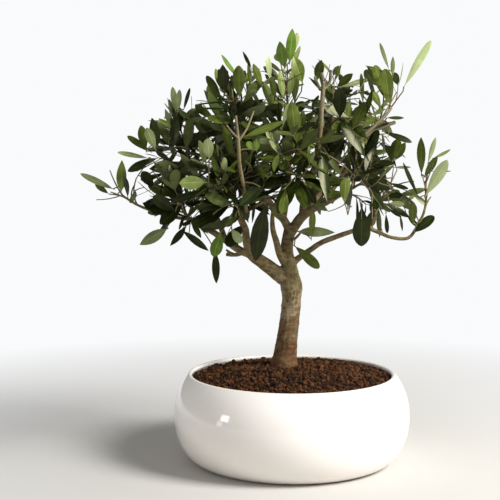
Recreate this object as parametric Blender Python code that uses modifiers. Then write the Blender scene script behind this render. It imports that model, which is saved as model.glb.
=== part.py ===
"""Olive bonsai in a round glazed bowl, for Blender 4.5.

Metres, +Z up, with the tree's front to -Y. The origin is the middle of the bowl's flat
underside. The bowl holds a low mound of gravel and the trunk stands on that mound. Each
bough leaves the trunk, or another bough, with a fine gap. Each mass of foliage is one
body: a stem at its bough's tip, twigs that branch off the stem by a seeded rule, and
leaves in crossed pairs along the twigs.
"""

import math
import random
from collections import namedtuple

import bmesh
import bpy
from mathutils import Vector
from mathutils.bvhtree import BVHTree
from mathutils.geometry import delaunay_2d_cdt

MM = 0.001
CM = 0.01
UP = Vector((0, 0, 1))

# The gap that keeps pieces which meet from sharing any space.
GAP = 0.3 * MM

# The bowl: a squat round shell, widest at its middle, that draws in to a rolled lip.
BOWL_RADIUS = 80.4 * MM
BOWL_BELLY_HEIGHT = 31 * MM
BOWL_HEIGHT = 59.5 * MM
BOWL_FOOT_RADIUS = 61 * MM
BOWL_RIM_RADIUS = 70.2 * MM
BOWL_SHOULDER_HEIGHT = 38 * MM
BOWL_WALL = 4.2 * MM
BOWL_FLOOR = 7 * MM
BOWL_ARC_STEPS = 4
TURNED_STEPS = 32

# The gravel: its edge lies just under the rim, and its flat footing carries the trunk. Round
# the footing its top is lumpy, on a lattice where each third point is the peak of a lump.
GRAVEL_EDGE_HEIGHT = 55.6 * MM
GRAVEL_SLOPE_HEIGHT = 58.6 * MM
GRAVEL_CREST_HEIGHT = 62 * MM
GRAVEL_CREST_RADIUS = 24 * MM
GRAVEL_FOOTING_RADIUS = 18.5 * MM
GRAVEL_FOOTING_EDGE = 6 * MM
GRAVEL_LATTICE = 7 * MM
GRAVEL_LUMP_HEIGHT = 1.6 * MM
GRAVEL_HOLLOW_DEPTH = 0.6 * MM
GRAVEL_UNEVEN = (0.6, 1.0)
GRAVEL_STRAY = 0.12
GRAVEL_SEED = 5

# Points of one mesh that lie closer than this are made one.
WELD = 0.05 * MM
CURVE_WELD = 0.01 * MM

# Limbs are drawn through a few stations: x, y, z and radius, in centimetres.
TRUNK_FOOT = (GRAVEL_CREST_HEIGHT + GAP) / CM
TRUNK = [
    (-0.5, 1.0, TRUNK_FOOT, 1.08),
    (-0.5, 1.0, TRUNK_FOOT + 0.25, 0.93),
    (-0.45, 1.0, 6.9, 0.83),
    (-0.32, 1.0, 7.9, 0.75),
    (-0.15, 0.95, 9.4, 0.67),
    (0.0, 0.9, 10.9, 0.67),
    (-0.02, 0.85, 11.7, 0.76),
    (-0.12, 0.8, 12.5, 0.66),
    (-0.22, 0.75, 13.3, 0.52),
    (-0.36, 0.7, 14.2, 0.45),
    (-0.26, 0.65, 15.1, 0.42),
    (-0.1, 0.6, 15.9, 0.4),
]

Bough = namedtuple("Bough", "name parent clear_of stations")
BOUGHS = [
    Bough("bough_left", "trunk", (), [
        (-0.1, 0.8, 12.0, 0.5), (-0.75, 0.65, 12.55, 0.46), (-1.4, 0.45, 13.05, 0.42),
        (-2.05, 0.25, 13.55, 0.4), (-2.75, 0.0, 14.1, 0.36), (-3.05, -0.5, 15.0, 0.29),
        (-3.1, -1.4, 15.8, 0.25), (-3.4, -2.3, 16.6, 0.22),
    ]),
    Bough("bough_left_low", "bough_left", (), [
        (-2.55, 0.05, 13.9, 0.27), (-3.35, 0.1, 14.2, 0.27), (-4.0, 0.0, 14.6, 0.25),
        (-4.6, -0.2, 15.05, 0.23), (-5.4, -0.4, 15.6, 0.21), (-6.2, -0.6, 16.0, 0.18),
    ]),
    Bough("bough_left_back", "bough_left_low", (), [
        (-4.5, -0.17, 15.0, 0.2), (-5.0, 0.5, 16.2, 0.19), (-5.6, 0.9, 17.4, 0.17),
        (-6.3, 0.8, 18.7, 0.16),
    ]),
    Bough("bough_left_tip", "bough_left_back", (), [
        (-4.95, 0.45, 16.1, 0.15), (-6.2, 1.0, 16.3, 0.14), (-7.6, 1.0, 16.4, 0.13),
        (-8.8, 0.5, 16.7, 0.12), (-9.9, 0.1, 17.1, 0.11),
    ]),
    Bough("bough_upper_right", "trunk", (), [
        (-0.1, 0.6, 15.4, 0.34), (0.45, 0.55, 16.3, 0.35), (0.95, 0.45, 16.8, 0.32),
        (1.5, 0.3, 17.15, 0.27), (2.2, -0.1, 17.5, 0.22), (2.9, -0.7, 17.9, 0.18),
    ]),
    Bough("bough_upper_left", "trunk", ("bough_upper_right",), [
        (-0.15, 0.62, 15.5, 0.3), (-0.55, 0.5, 16.35, 0.28), (-1.1, 0.35, 16.85, 0.25),
        (-1.55, 0.25, 17.6, 0.22), (-2.4, 0.1, 18.5, 0.2), (-3.0, 0.0, 19.6, 0.18),
        (-3.3, -0.1, 20.8, 0.165),
    ]),
    Bough("bough_top", "bough_upper_left", ("trunk", "bough_upper_right"), [
        (-0.55, 0.5, 16.3, 0.17), (-0.4, 1.0, 17.2, 0.15), (-0.2, 1.3, 18.8, 0.145),
        (-0.2, 1.4, 20.4, 0.14), (-0.3, 1.3, 21.6, 0.135),
    ]),
    Bough("bough_back_left", "bough_upper_left", (), [
        (-1.3, 0.3, 17.15, 0.17), (-1.8, 1.2, 17.8, 0.17), (-2.3, 2.2, 18.4, 0.16),
    ]),
    Bough("bough_leader", "bough_upper_right", ("bough_top", "bough_upper_left"), [
        (0.7, 0.5, 16.5, 0.27), (0.8, 0.6, 17.5, 0.26), (1.05, 0.6, 18.7, 0.25),
        (1.6, 0.4, 20.0, 0.24), (2.2, 0.1, 21.3, 0.23),
    ]),
    Bough("bough_right_rise", "bough_upper_right", (), [
        (2.0, 0.1, 17.45, 0.17), (2.9, 0.6, 18.6, 0.16), (3.8, 0.8, 20.0, 0.155),
        (4.7, 0.6, 21.3, 0.15),
    ]),
    Bough("bough_back_right", "bough_upper_right", ("bough_leader", "trunk"), [
        (0.55, 0.55, 16.4, 0.2), (1.2, 1.5, 17.2, 0.19), (1.9, 2.4, 18.0, 0.17),
    ]),
    Bough("bough_mid", "trunk", ("bough_left",), [
        (-0.2, 0.75, 12.9, 0.2), (-0.78, 0.2, 13.9, 0.17), (-1.05, -0.2, 14.9, 0.16),
        (-1.3, -0.6, 15.9, 0.15), (-1.25, -1.2, 17.0, 0.14), (-0.9, -1.9, 17.9, 0.13),
    ]),
    Bough("bough_right", "trunk", (), [
        (-0.1, 0.75, 13.2, 0.24), (0.45, 0.7, 13.7, 0.22), (1.2, 0.55, 14.25, 0.2),
        (2.1, 0.35, 14.85, 0.19), (3.9, 0.05, 15.55, 0.17), (4.9, 0.0, 15.85, 0.16),
        (5.7, 0.0, 15.6, 0.145), (6.7, 0.0, 15.2, 0.13), (7.8, 0.0, 15.15, 0.12),
        (8.35, -0.05, 15.8, 0.11), (8.7, -0.1, 16.5, 0.105),
    ]),
    Bough("bough_right_fork", "bough_right", (), [
        (5.3, 0.0, 15.75, 0.12), (5.5, 0.3, 16.3, 0.12), (5.7, 0.5, 16.9, 0.115),
    ]),
    Bough("trunk_spur", "trunk", (), [
        (-0.25, 0.6, 14.9, 0.12), (0.2, 0.1, 15.1, 0.11), (0.45, -0.2, 15.35, 0.1),
    ]),
    Bough("pruned_stub", "bough_left_low", (), [
        (-3.2, 0.1, 14.15, 0.15), (-3.8, 0.45, 13.95, 0.14), (-4.5, 0.6, 13.95, 0.12),
    ]),
]

# A mass fills an ellipsoid of this centre and these radii, in centimetres. Its stem ends at
# its heart, shoots are where its longest twigs end, twigs is how many more it sends out
# evenly all round, and marks are single leaves that show on their own.
Mass = namedtuple("Mass", "name bough centre radii heart twigs seed shoots marks")
# A marked leaf: root and tip in centimetres, width in millimetres, and where its face turns.
Mark = namedtuple("Mark", "root tip width face")
TO_FRONT = Vector((0, -1, 0.25))

MASSES = [
    Mass("foliage_left_tip", "bough_left_tip", (-11.2, -0.1, 19.0), (3.9, 3.2, 3.0),
         (-11.5, 0.0, 18.0), 4, 11, [(-12.4, -0.2, 18.1)], [
             Mark((-12.3, -0.2, 18.5), (-14.4, -0.4, 19.45), 7.0, TO_FRONT),
         ]),
    Mass("foliage_left_top", "bough_left_back", (-7.5, 0.6, 21.0), (4.0, 4.4, 4.4),
         (-7.1, 0.6, 20.9), 8, 12, [(-7.8, 0.2, 23.2)], []),
    Mass("foliage_left_low", "bough_left_low", (-7.3, -1.9, 17.9), (4.0, 4.4, 3.6),
         (-7.4, -1.6, 17.4), 8, 13, [], [
             Mark((-6.1, -4.2, 19.0), (-8.2, -4.6, 18.95), 10.0, TO_FRONT),
             Mark((-8.4, -1.6, 16.3), (-10.1, -1.9, 15.0), 9.0, TO_FRONT),
             Mark((-5.0, -1.4, 14.3), (-5.1, -1.6, 12.1), 7.0, TO_FRONT),
         ]),
    Mass("foliage_front_left", "bough_left", (-3.6, -4.2, 18.8), (4.2, 4.3, 4.6),
         (-3.8, -3.8, 18.6), 9, 14, [], [
             Mark((-4.6, -2.9, 16.6), (-5.15, -3.0, 14.4), 8.5, TO_FRONT),
             Mark((-1.75, -3.0, 17.0), (-2.3, -2.7, 14.4), 10.0, TO_FRONT),
         ]),
    Mass("foliage_upper_left", "bough_upper_left", (-3.6, -0.4, 23.4), (4.0, 4.6, 4.6),
         (-3.6, -0.2, 22.8), 8, 15, [(-4.2, -0.4, 24.7)], []),
    Mass("foliage_top", "bough_top", (-0.4, 0.9, 24.3), (3.2, 4.6, 5.4),
         (-0.3, 1.0, 23.6), 6, 16, [(-0.35, 0.4, 26.8), (0.6, 0.6, 25.0)], [
             Mark((-0.45, 0.7, 27.0), (-0.15, 0.5, 29.25), 7.0, TO_FRONT),
         ]),
    Mass("foliage_centre", "bough_mid", (0.1, -3.9, 20.5), (4.2, 4.2, 4.4),
         (0.0, -3.4, 20.4), 8, 17, [], []),
    Mass("foliage_leader", "bough_leader", (3.1, -0.6, 23.3), (4.2, 4.8, 4.5),
         (2.7, -0.3, 23.9), 12, 18, [], []),
    Mass("foliage_right_top", "bough_right_rise", (6.2, 0.5, 23.4), (3.1, 4.2, 5.2),
         (6.0, 0.4, 23.0), 6, 19, [(7.4, 0.1, 25.0)], [
             Mark((7.6, 0.1, 25.3), (9.2, -0.1, 28.2), 6.5, TO_FRONT),
         ]),
    Mass("foliage_right_mid", "bough_upper_right", (4.4, -2.9, 18.9), (4.2, 4.3, 4.6),
         (4.5, -2.4, 18.9), 8, 20, [], [
             Mark((2.55, -2.6, 19.9), (2.45, -2.9, 16.9), 8.0, TO_FRONT),
             Mark((4.75, -1.6, 17.5), (4.5, -1.7, 14.7), 11.0, TO_FRONT),
         ]),
    Mass("foliage_right_low", "bough_right_fork", (6.9, 1.4, 18.3), (3.6, 4.0, 3.8),
         (6.5, 1.0, 18.4), 8, 21, [], []),
    Mass("foliage_right_tip", "bough_right", (9.0, -0.5, 18.7), (2.3, 3.2, 4.0),
         (8.9, -0.3, 18.6), 5, 22, [(9.0, -0.4, 19.6)], [
             Mark((8.95, -0.5, 18.2), (10.3, -0.9, 20.2), 9.0, TO_FRONT),
         ]),
    Mass("foliage_back_left", "bough_back_left", (-3.9, 5.0, 20.7), (5.0, 4.6, 5.0),
         (-3.7, 4.6, 20.2), 9, 23, [], []),
    Mass("foliage_back_right", "bough_back_right", (3.6, 5.1, 20.6), (5.0, 4.6, 5.0),
         (3.3, 4.6, 20.1), 9, 24, [], []),
    Mass("foliage_trunk_sprig", "trunk_spur", (1.3, -0.5, 15.3), (2.0, 1.6, 2.6),
         (0.6, -0.35, 15.6), 0, 25, [], [
             Mark((0.75, -0.45, 15.75), (2.9, -0.6, 15.6), 8.0, TO_FRONT),
             Mark((0.7, -0.4, 15.3), (1.8, -0.7, 13.5), 7.0, TO_FRONT),
         ]),
]

# The stem of a mass: thinner than its bough's tip, it narrows to its heart. The shares are
# of its bough's last radius, of its own first radius, and of its length.
STEM_FIT = 0.92
STEM_TAPER = 0.6
STEM_STEPS = 5
STEM_SIDES = 5
STEM_BARE_SHARE = 0.2

# Twigs leave the stem in turn and stop a leaf's reach short of the space's edge.
TWIG_RADIUS = 1.0 * MM
TWIG_TIP_RADIUS = 0.65 * MM
TWIG_SHORT_OF_EDGE = 20 * MM
TWIG_SHORT_RANGE = (0.8, 1.2)
TWIG_LEAST = 6 * MM
TWIG_LIFT = 0.2
TWIG_STEPS = 2
TWIG_SIDES = 3
TWIG_BARE_SHARE = 0.22
# An aim this nearly straight back towards the stem's foot is left out, and one that lies in
# another mass's space, or too near it, is drawn in by this share until it doesn't.
BACKWARD = 0.8
DRAW_IN = 0.15
AIM_MARGIN = 4 * MM
NEAR_MARGIN = 5 * MM
# How strongly a curve keeps to the direction that it sets off in, and the share of a line
# past which nothing more leaves it.
CURVE_PULL = 0.45
LAST_SHARE = 0.98
TRIES = 8
GOLDEN_ANGLE = math.pi * (3 - math.sqrt(5))

# Leaves stand in crossed pairs along a twig, smaller and steeper towards its tip.
PAIR_SPACING = 11 * MM
LEAF_LENGTH = 31 * MM
LEAF_LENGTH_RANGE = (0.75, 1.15)
LEAF_SHORTER_AT_TIP = 0.2
LEAF_WIDTH_SHARE = 0.31
LEAF_WIDTH_RANGE = (0.85, 1.15)
LEAF_THICKNESS = 0.9 * MM
LEAF_NECK = 0.18
LEAF_LEAN_RANGE = (50, 78)
LEAF_STEEPER_AT_TIP = 28
LEAF_SAG_RANGE = (-0.1, 0.35)
LEAF_STIFFER_AT_TIP = 0.6
LEAF_TURN = 0.2
LEAF_TURN_PER_TRY = 0.15
LEAF_FACES_AHEAD = 0.8
LEAF_FACES_UP = 0.6
LEAF_CHECKED_AT = (0.3, 0.5, 1)
# A marked leaf's twig runs this far under it, and arches up by this much on its way.
MARK_OVERLAP = 3 * MM
MARK_ARCH = 5 * MM

# A leaf is a three-sided prism that lies on its length. Its upper edge is the midrib, which
# runs from the root to the tip. Its two lower edges are the leaf's sides: they start at one
# share of its length and end at another, each with the half-widths that it stands out by.
LEAF_LOWER_EDGE = (0.36, 0.95)
LEAF_UPPER_EDGE = (0.7, 0.9)

Leaf = namedtuple("Leaf", "root along face length width")
Limb = namedtuple("Limb", "points radii")


# ---------------------------------------------------------------- the rule of growth

def smooth_line(stations, per_span=2):
    """A Catmull-Rom line through stations of x, y, z and radius, in metres."""
    knots = [Vector(s) * CM for s in stations]
    padded = [knots[0] * 2 - knots[1], *knots, knots[-1] * 2 - knots[-2]]
    line = []
    for a, b, c, d in zip(padded, padded[1:], padded[2:], padded[3:]):
        for step in range(per_span):
            t = step / per_span
            line.append(0.5 * (2 * b + (c - a) * t + (2 * a - 5 * b + 4 * c - d) * t ** 2
                               + (3 * b - a - 3 * c + d) * t ** 3))
    line.append(knots[-1])
    return Limb([p.xyz for p in line], [p.w for p in line])


def arch(start, leaving, end, steps):
    """Points of a quadratic curve from start, setting off along leaving, to end."""
    pull = start + leaving.normalized() * (end - start).length * CURVE_PULL
    points = []
    for i in range(steps + 1):
        t = i / steps
        points.append(start * (1 - t) ** 2 + pull * 2 * t * (1 - t) + end * t ** 2)
    return points


def place_along(points, share):
    """The point at a share of a line's length, and the line's direction there."""
    lengths = [(b - a).length for a, b in zip(points, points[1:])]
    rest = share * sum(lengths)
    i = 0
    while i < len(lengths) - 1 and rest > lengths[i]:
        rest -= lengths[i]
        i += 1
    return points[i].lerp(points[i + 1], rest / lengths[i]), (points[i + 1] - points[i]).normalized()


def taper(first, last, count):
    """Evenly spaced radii from first to last."""
    return [first + (last - first) * i / (count - 1) for i in range(count)]


def segment_distance(p1, q1, p2, q2):
    """The least distance between two straight segments."""
    d1, d2, r = q1 - p1, q2 - p2, p1 - p2
    a, e, f = d1.dot(d1), d2.dot(d2), d2.dot(r)
    c, b = d1.dot(r), d1.dot(d2)
    span = a * e - b * b
    s = min(1.0, max(0.0, (b * f - c * e) / span)) if span > 1e-16 else 0.0
    t = (b * s + f) / e
    if t < 0.0:
        t, s = 0.0, min(1.0, max(0.0, -c / a))
    elif t > 1.0:
        t, s = 1.0, min(1.0, max(0.0, (b - c) / a))
    return (p1 + d1 * s - p2 - d2 * t).length


class Space:
    """What one mass may fill: its ellipsoid, on its own side of the planes between the masses."""

    def __init__(self, mass, masses):
        self.centre = Vector(mass.centre) * CM
        self.radii = Vector(mass.radii) * CM
        self.planes = []
        for other in masses:
            if other.name == mass.name:
                continue
            away = Vector(other.centre) * CM - self.centre
            theirs = (Vector(other.radii) * CM).length_squared
            # The plane between two masses lies nearer the smaller one, by the powers of spheres
            # whose squared radii are the means of the ellipsoids' own.
            share = 0.5 + (self.radii.length_squared - theirs) / (6 * away.length_squared)
            self.planes.append((away.normalized(), share * away.length))

    def holds(self, point, margin=GAP):
        """Whether a point is on this mass's side of every plane."""
        from_centre = point - self.centre
        return all(from_centre.dot(normal) + margin < reach for normal, reach in self.planes)

    def fills(self, point):
        """Whether a point is in the ellipsoid too."""
        from_centre = point - self.centre
        return self.holds(point) and sum((d / r) ** 2 for d, r in zip(from_centre, self.radii)) < 1

    def near(self, limbs):
        """The segments of limbs that come close to this space, each with its thicker end's radius."""
        reach = max(self.radii) + NEAR_MARGIN
        for limb in limbs:
            for p, q, r in zip(limb.points, limb.points[1:], limb.radii):
                if ((p + q) / 2 - self.centre).length < reach:
                    yield p, q, r


def leaf_point(leaf, share, side=0.0):
    """A leaf's point at a share of its length and side half-widths off its midrib, and below it."""
    across = leaf.along.cross(leaf.face).normalized()
    up = across.cross(leaf.along)
    return (leaf.root + leaf.along * leaf.length * share + across * side * leaf.width / 2
            - up * abs(side) * LEAF_THICKNESS)


def leaf_corners(leaf):
    """The prism's corners: for each end, the point on the midrib and the two on the edges."""
    return [[leaf_point(leaf, end), leaf_point(leaf, share, side), leaf_point(leaf, share, -side)]
            for end, (share, side) in ((0, LEAF_LOWER_EDGE), (1, LEAF_UPPER_EDGE))]


def leaf_blade(leaf):
    """The leaf's outline past its neck, as a tree of faces that can be tested against another's."""
    (_, right_low, left_low), (tip, right_high, left_high) = leaf_corners(leaf)
    neck = leaf_point(leaf, LEAF_NECK)
    outline = [neck, right_low, right_high, tip, left_high, left_low]
    return BVHTree.FromPolygons(outline, [range(len(outline))])


class Growth:
    """One mass as it grows: its stem, its twigs and its leaves."""

    def __init__(self, mass, limbs, masses):
        self.mass = mass
        self.space = Space(mass, masses)
        self.near_limbs = list(self.space.near(limbs.values()))
        self.random = random.Random(mass.seed)
        self.stem = self.grow_stem(limbs[mass.bough])
        self.twigs, self.leaves, self.blades = [], [], []

    def grow_stem(self, bough):
        """The stem sets off from its bough's end and bends over to the heart."""
        forward = (bough.points[-1] - bough.points[-2]).normalized()
        start = bough.points[-1] + forward * GAP
        points = arch(start, forward, Vector(self.mass.heart) * CM, STEM_STEPS)
        radius = bough.radii[-1] * STEM_FIT
        return Limb(points, taper(radius, max(radius * STEM_TAPER, TWIG_RADIUS), len(points)))

    def grow(self):
        """The marked leaves first, then the twigs from the stem's foot up, then the leaves from
        the heart down."""
        for mark in self.mass.marks:
            self.add_marked_leaf(mark)
        aims = [Vector(tip) * CM for tip in self.mass.shoots] + list(self.spread_aims())
        foot, heart = self.stem.points[0], self.stem.points[-1]
        aims.sort(key=lambda aim: (aim - foot).dot(heart - foot))
        for i, aim in enumerate(aims):
            step = (LAST_SHARE - STEM_BARE_SHARE) / len(aims)
            self.add_twig(aim, STEM_BARE_SHARE + step * (i + 1))
        for twig in reversed(self.twigs[len(self.mass.marks):]):
            self.add_leaves(twig)

    def spread_aims(self):
        """Points spread evenly round the ellipsoid, inside its surface, but not back along the stem."""
        back = (self.stem.points[0] - self.space.centre).normalized()
        turn = self.random.uniform(0, 2 * math.pi)
        for i in range(self.mass.twigs):
            z = 1 - (2 * i + 1) / self.mass.twigs
            ring = math.sqrt(1 - z * z)
            angle = turn + i * GOLDEN_ANGLE
            direction = Vector((ring * math.cos(angle), ring * math.sin(angle), z))
            if direction.dot(back) > BACKWARD:
                continue
            short = TWIG_SHORT_OF_EDGE * self.random.uniform(*TWIG_SHORT_RANGE)
            reach = self.space.radii - Vector((short, short, short))
            aim = self.space.centre + direction * reach
            for _ in range(TRIES):
                if self.space.holds(aim, AIM_MARGIN):
                    break
                aim = aim.lerp(self.space.centre, DRAW_IN)
            yield aim

    def add_twig(self, aim, share):
        """A twig from a share of the stem's length to its aim, if nothing is in its way."""
        start, along = place_along(self.stem.points, share)
        if (aim - start).length > TWIG_LEAST:
            leaving = along + (aim - start).normalized() + UP * TWIG_LIFT
            path = arch(start, leaving, aim, TWIG_STEPS)
            if all(self.is_free(a, b, TWIG_RADIUS) for a, b in zip(path, path[1:])):
                self.twigs.append(Limb(path, taper(TWIG_RADIUS, TWIG_TIP_RADIUS, len(path))))

    def is_free(self, a, b, radius):
        """Whether a rod from a to b stays clear of the limbs."""
        return all(segment_distance(a, b, p, q) > r + radius + GAP for p, q, r in self.near_limbs)

    def fits(self, leaf):
        """Whether a leaf stays in the mass's space, clear of limbs, of twigs and of other leaves."""
        if not all(self.space.fills(corner) for end in leaf_corners(leaf) for corner in end):
            return False
        past_neck, middle, tip = (leaf_point(leaf, share) for share in LEAF_CHECKED_AT)
        half = leaf.width / 2
        if not (self.is_free(leaf.root, middle, half) and self.is_free(middle, tip, half)):
            return False
        for twig in self.twigs:
            for a, b in zip(twig.points, twig.points[1:]):
                if segment_distance(past_neck, tip, a, b) < TWIG_RADIUS + half / 2:
                    return False
        blade = leaf_blade(leaf)
        return not any(blade.overlap(other) for other in self.blades)

    def keep(self, leaf):
        self.leaves.append(leaf)
        self.blades.append(leaf_blade(leaf))

    def add_marked_leaf(self, mark):
        """A leaf at a place of its own, on a bare twig of its own."""
        root, tip = Vector(mark.root) * CM, Vector(mark.tip) * CM
        along = (tip - root).normalized()
        start = min(self.stem.points[1:], key=lambda p: (p - root).length)
        path = arch(start, root - start + UP * MARK_ARCH, root + along * MARK_OVERLAP, TWIG_STEPS)
        self.twigs.append(Limb(path, taper(TWIG_RADIUS, TWIG_TIP_RADIUS, len(path))))
        self.keep(Leaf(root, along, mark.face, (tip - root).length, mark.width * MM))

    def add_leaves(self, twig):
        """Pairs of leaves along a twig, each pair a quarter turn on from the last."""
        length = sum((b - a).length for a, b in zip(twig.points, twig.points[1:]))
        pairs = max(2, round(length * (1 - TWIG_BARE_SHARE) / PAIR_SPACING) + 1)
        first_turn = self.random.uniform(0, math.pi)
        for pair in range(pairs):
            share = pair / (pairs - 1)
            at = TWIG_BARE_SHARE + (LAST_SHARE - TWIG_BARE_SHARE) * share
            root, along = place_along(twig.points, at)
            for half_turn in (0, math.pi):
                self.add_leaf(root, along, first_turn + pair * math.pi / 2 + half_turn, share)

    def add_leaf(self, root, twig_along, turn, share):
        """A leaf turned round its twig by turn. share is 0 at the twig's foot and 1 at its tip."""
        side = twig_along.cross(UP).normalized()
        other = side.cross(twig_along)
        for attempt in range(TRIES):
            loose = LEAF_TURN + LEAF_TURN_PER_TRY * attempt
            angle = turn + self.random.uniform(-loose, loose)
            lean = math.radians(self.random.uniform(*LEAF_LEAN_RANGE) - LEAF_STEEPER_AT_TIP * share)
            outward = side * math.cos(angle) + other * math.sin(angle)
            along = twig_along * math.cos(lean) + outward * math.sin(lean)
            along -= UP * self.random.uniform(*LEAF_SAG_RANGE) * (1 - LEAF_STIFFER_AT_TIP * share)
            along.normalize()
            length = LEAF_LENGTH * self.random.uniform(*LEAF_LENGTH_RANGE)
            length *= 1 - LEAF_SHORTER_AT_TIP * share
            width = length * LEAF_WIDTH_SHARE * self.random.uniform(*LEAF_WIDTH_RANGE)
            leaf = Leaf(root, along, twig_along * LEAF_FACES_AHEAD + UP * LEAF_FACES_UP, length, width)
            if self.fits(leaf):
                self.keep(leaf)
                return


def grow_crown(masses, limbs):
    """Every mass, grown clear of the limbs and of the other masses' spaces."""
    crown = [Growth(mass, limbs, masses) for mass in masses]
    for growth in crown:
        growth.grow()
    return crown


# ---------------------------------------------------------------- building the solids

def plain_material(name, colour, roughness):
    material = bpy.data.materials.new(name)
    material.use_nodes = True
    surface = material.node_tree.nodes["Principled BSDF"]
    surface.inputs["Base Color"].default_value = (*colour, 1.0)
    surface.inputs["Roughness"].default_value = roughness
    surface.inputs["Metallic"].default_value = 0.0
    material.diffuse_color = (*colour, 1.0)
    return material


def link(name, mesh, collection, material=None):
    """A new object of a mesh, in a collection."""
    obj = bpy.data.objects.new(name, mesh)
    if material is not None:
        mesh.materials.append(material)
    collection.objects.link(obj)
    return obj


def tube_mesh(name, limb, sides):
    """A closed tapering tube with a flat cap at each end, as a loft of rings along its line."""
    bm = bmesh.new()
    points, rings = limb.points, []
    normal = None
    for i, (point, radius) in enumerate(zip(points, limb.radii)):
        ahead = points[min(i + 1, len(points) - 1)] - points[max(i - 1, 0)]
        ahead.normalize()
        if normal is None:
            normal = ahead.orthogonal().normalized()
        normal = (normal - ahead * normal.dot(ahead)).normalized()
        other = ahead.cross(normal)
        turns = [2 * math.pi * k / sides for k in range(sides)]
        rings.append([bm.verts.new(point + (normal * math.cos(t) + other * math.sin(t)) * radius)
                      for t in turns])
    for low, high in zip(rings, rings[1:]):
        for k in range(sides):
            after = (k + 1) % sides
            bm.faces.new((low[k], low[after], high[after], high[k]))
    bm.faces.new(rings[0][::-1])
    bm.faces.new(rings[-1])
    mesh = bpy.data.meshes.new(name)
    bm.to_mesh(mesh)
    bm.free()
    return mesh


def leaf_mesh(name, leaf):
    """A leaf's closed blade of eight faces, from a three-sided prism."""
    bm = bmesh.new()
    bmesh.ops.create_cone(bm, cap_ends=True, segments=3, radius1=1, radius2=1, depth=1)
    ends = leaf_corners(leaf)
    for vertex in bm.verts:
        corner = round(math.atan2(vertex.co.y, vertex.co.x) / (2 * math.pi / 3)) % 3
        vertex.co = ends[vertex.co.z > 0][corner]
    bmesh.ops.triangulate(bm, faces=bm.faces)
    bmesh.ops.recalc_face_normals(bm, faces=bm.faces)
    mesh = bpy.data.meshes.new(name)
    bm.to_mesh(mesh)
    bm.free()
    return mesh


def limb_curve(name, limb, collection, sides_level, swell=0.0):
    """A limb as a bevelled curve. Its radius follows the limb's, with swell added all along."""
    curve = bpy.data.curves.new(name, "CURVE")
    curve.dimensions = "3D"
    curve.bevel_depth = MM
    curve.bevel_resolution = sides_level
    curve.use_fill_caps = True
    spline = curve.splines.new("POLY")
    spline.points.add(len(limb.points) - 1)
    for knot, point, radius in zip(spline.points, limb.points, limb.radii):
        knot.co = (*point, 1.0)
        knot.radius = (radius + swell) / MM
    obj = bpy.data.objects.new(name, curve)
    collection.objects.link(obj)
    return obj


def curve_to_mesh(obj, name, collection, material=None):
    """The curve's surface as a mesh object with its caps welded on; the curve is removed."""
    bpy.context.view_layer.update()
    evaluated = obj.evaluated_get(bpy.context.evaluated_depsgraph_get())
    mesh = bpy.data.meshes.new_from_object(evaluated)
    mesh.name = name
    bm = bmesh.new()
    bm.from_mesh(mesh)
    bmesh.ops.remove_doubles(bm, verts=bm.verts, dist=CURVE_WELD)
    bmesh.ops.recalc_face_normals(bm, faces=bm.faces)
    bm.to_mesh(mesh)
    bm.free()
    mesh.materials.clear()
    placed = obj.matrix_world.copy()
    bpy.data.objects.remove(obj)
    made = link(name, mesh, collection, material)
    made.matrix_world = placed
    return made


def turned(name, profile, collection, material):
    """A solid of revolution about Z. The profile runs from the axis to the axis, down its outer side."""
    mesh = bpy.data.meshes.new(name)
    mesh.from_pydata([(r, 0, z) for r, z in profile],
                     [(i, i + 1) for i in range(len(profile) - 1)], [])
    obj = link(name, mesh, collection, material)
    screw = obj.modifiers.new("Turn", "SCREW")
    screw.axis = "Z"
    screw.steps = screw.render_steps = TURNED_STEPS
    screw.use_merge_vertices = True
    screw.merge_threshold = WELD
    screw.use_smooth_shade = True
    return obj


def bowl_side(height, inset=0.0):
    """The bowl's outer radius at a height, less inset: two arcs that meet at the belly."""
    if height < BOWL_BELLY_HEIGHT:
        rise = 1 - height / BOWL_BELLY_HEIGHT
        return BOWL_FOOT_RADIUS + (BOWL_RADIUS - BOWL_FOOT_RADIUS) * math.sqrt(1 - rise ** 2) - inset
    rim_share = math.sqrt(1 - ((BOWL_HEIGHT - BOWL_BELLY_HEIGHT) / BOWL_SHOULDER_HEIGHT) ** 2)
    swell = (BOWL_RADIUS - BOWL_RIM_RADIUS) / (1 - rim_share)
    rise = (height - BOWL_BELLY_HEIGHT) / BOWL_SHOULDER_HEIGHT
    return BOWL_RADIUS - swell * (1 - math.sqrt(1 - rise ** 2)) - inset


def eased(low, high, steps):
    """Heights from low to high, closer together near low, as an arc's points are."""
    return [low + (high - low) * (1 - math.cos(math.pi / 2 * i / steps)) for i in range(steps + 1)]


def bowl_wall(low, high, inset):
    """Points up the bowl's side from low to high, inset from its outer face."""
    heights = [low + (high - low) * i / BOWL_ARC_STEPS for i in range(BOWL_ARC_STEPS + 1)]
    return [(bowl_side(z, inset), z) for z in heights]


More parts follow.
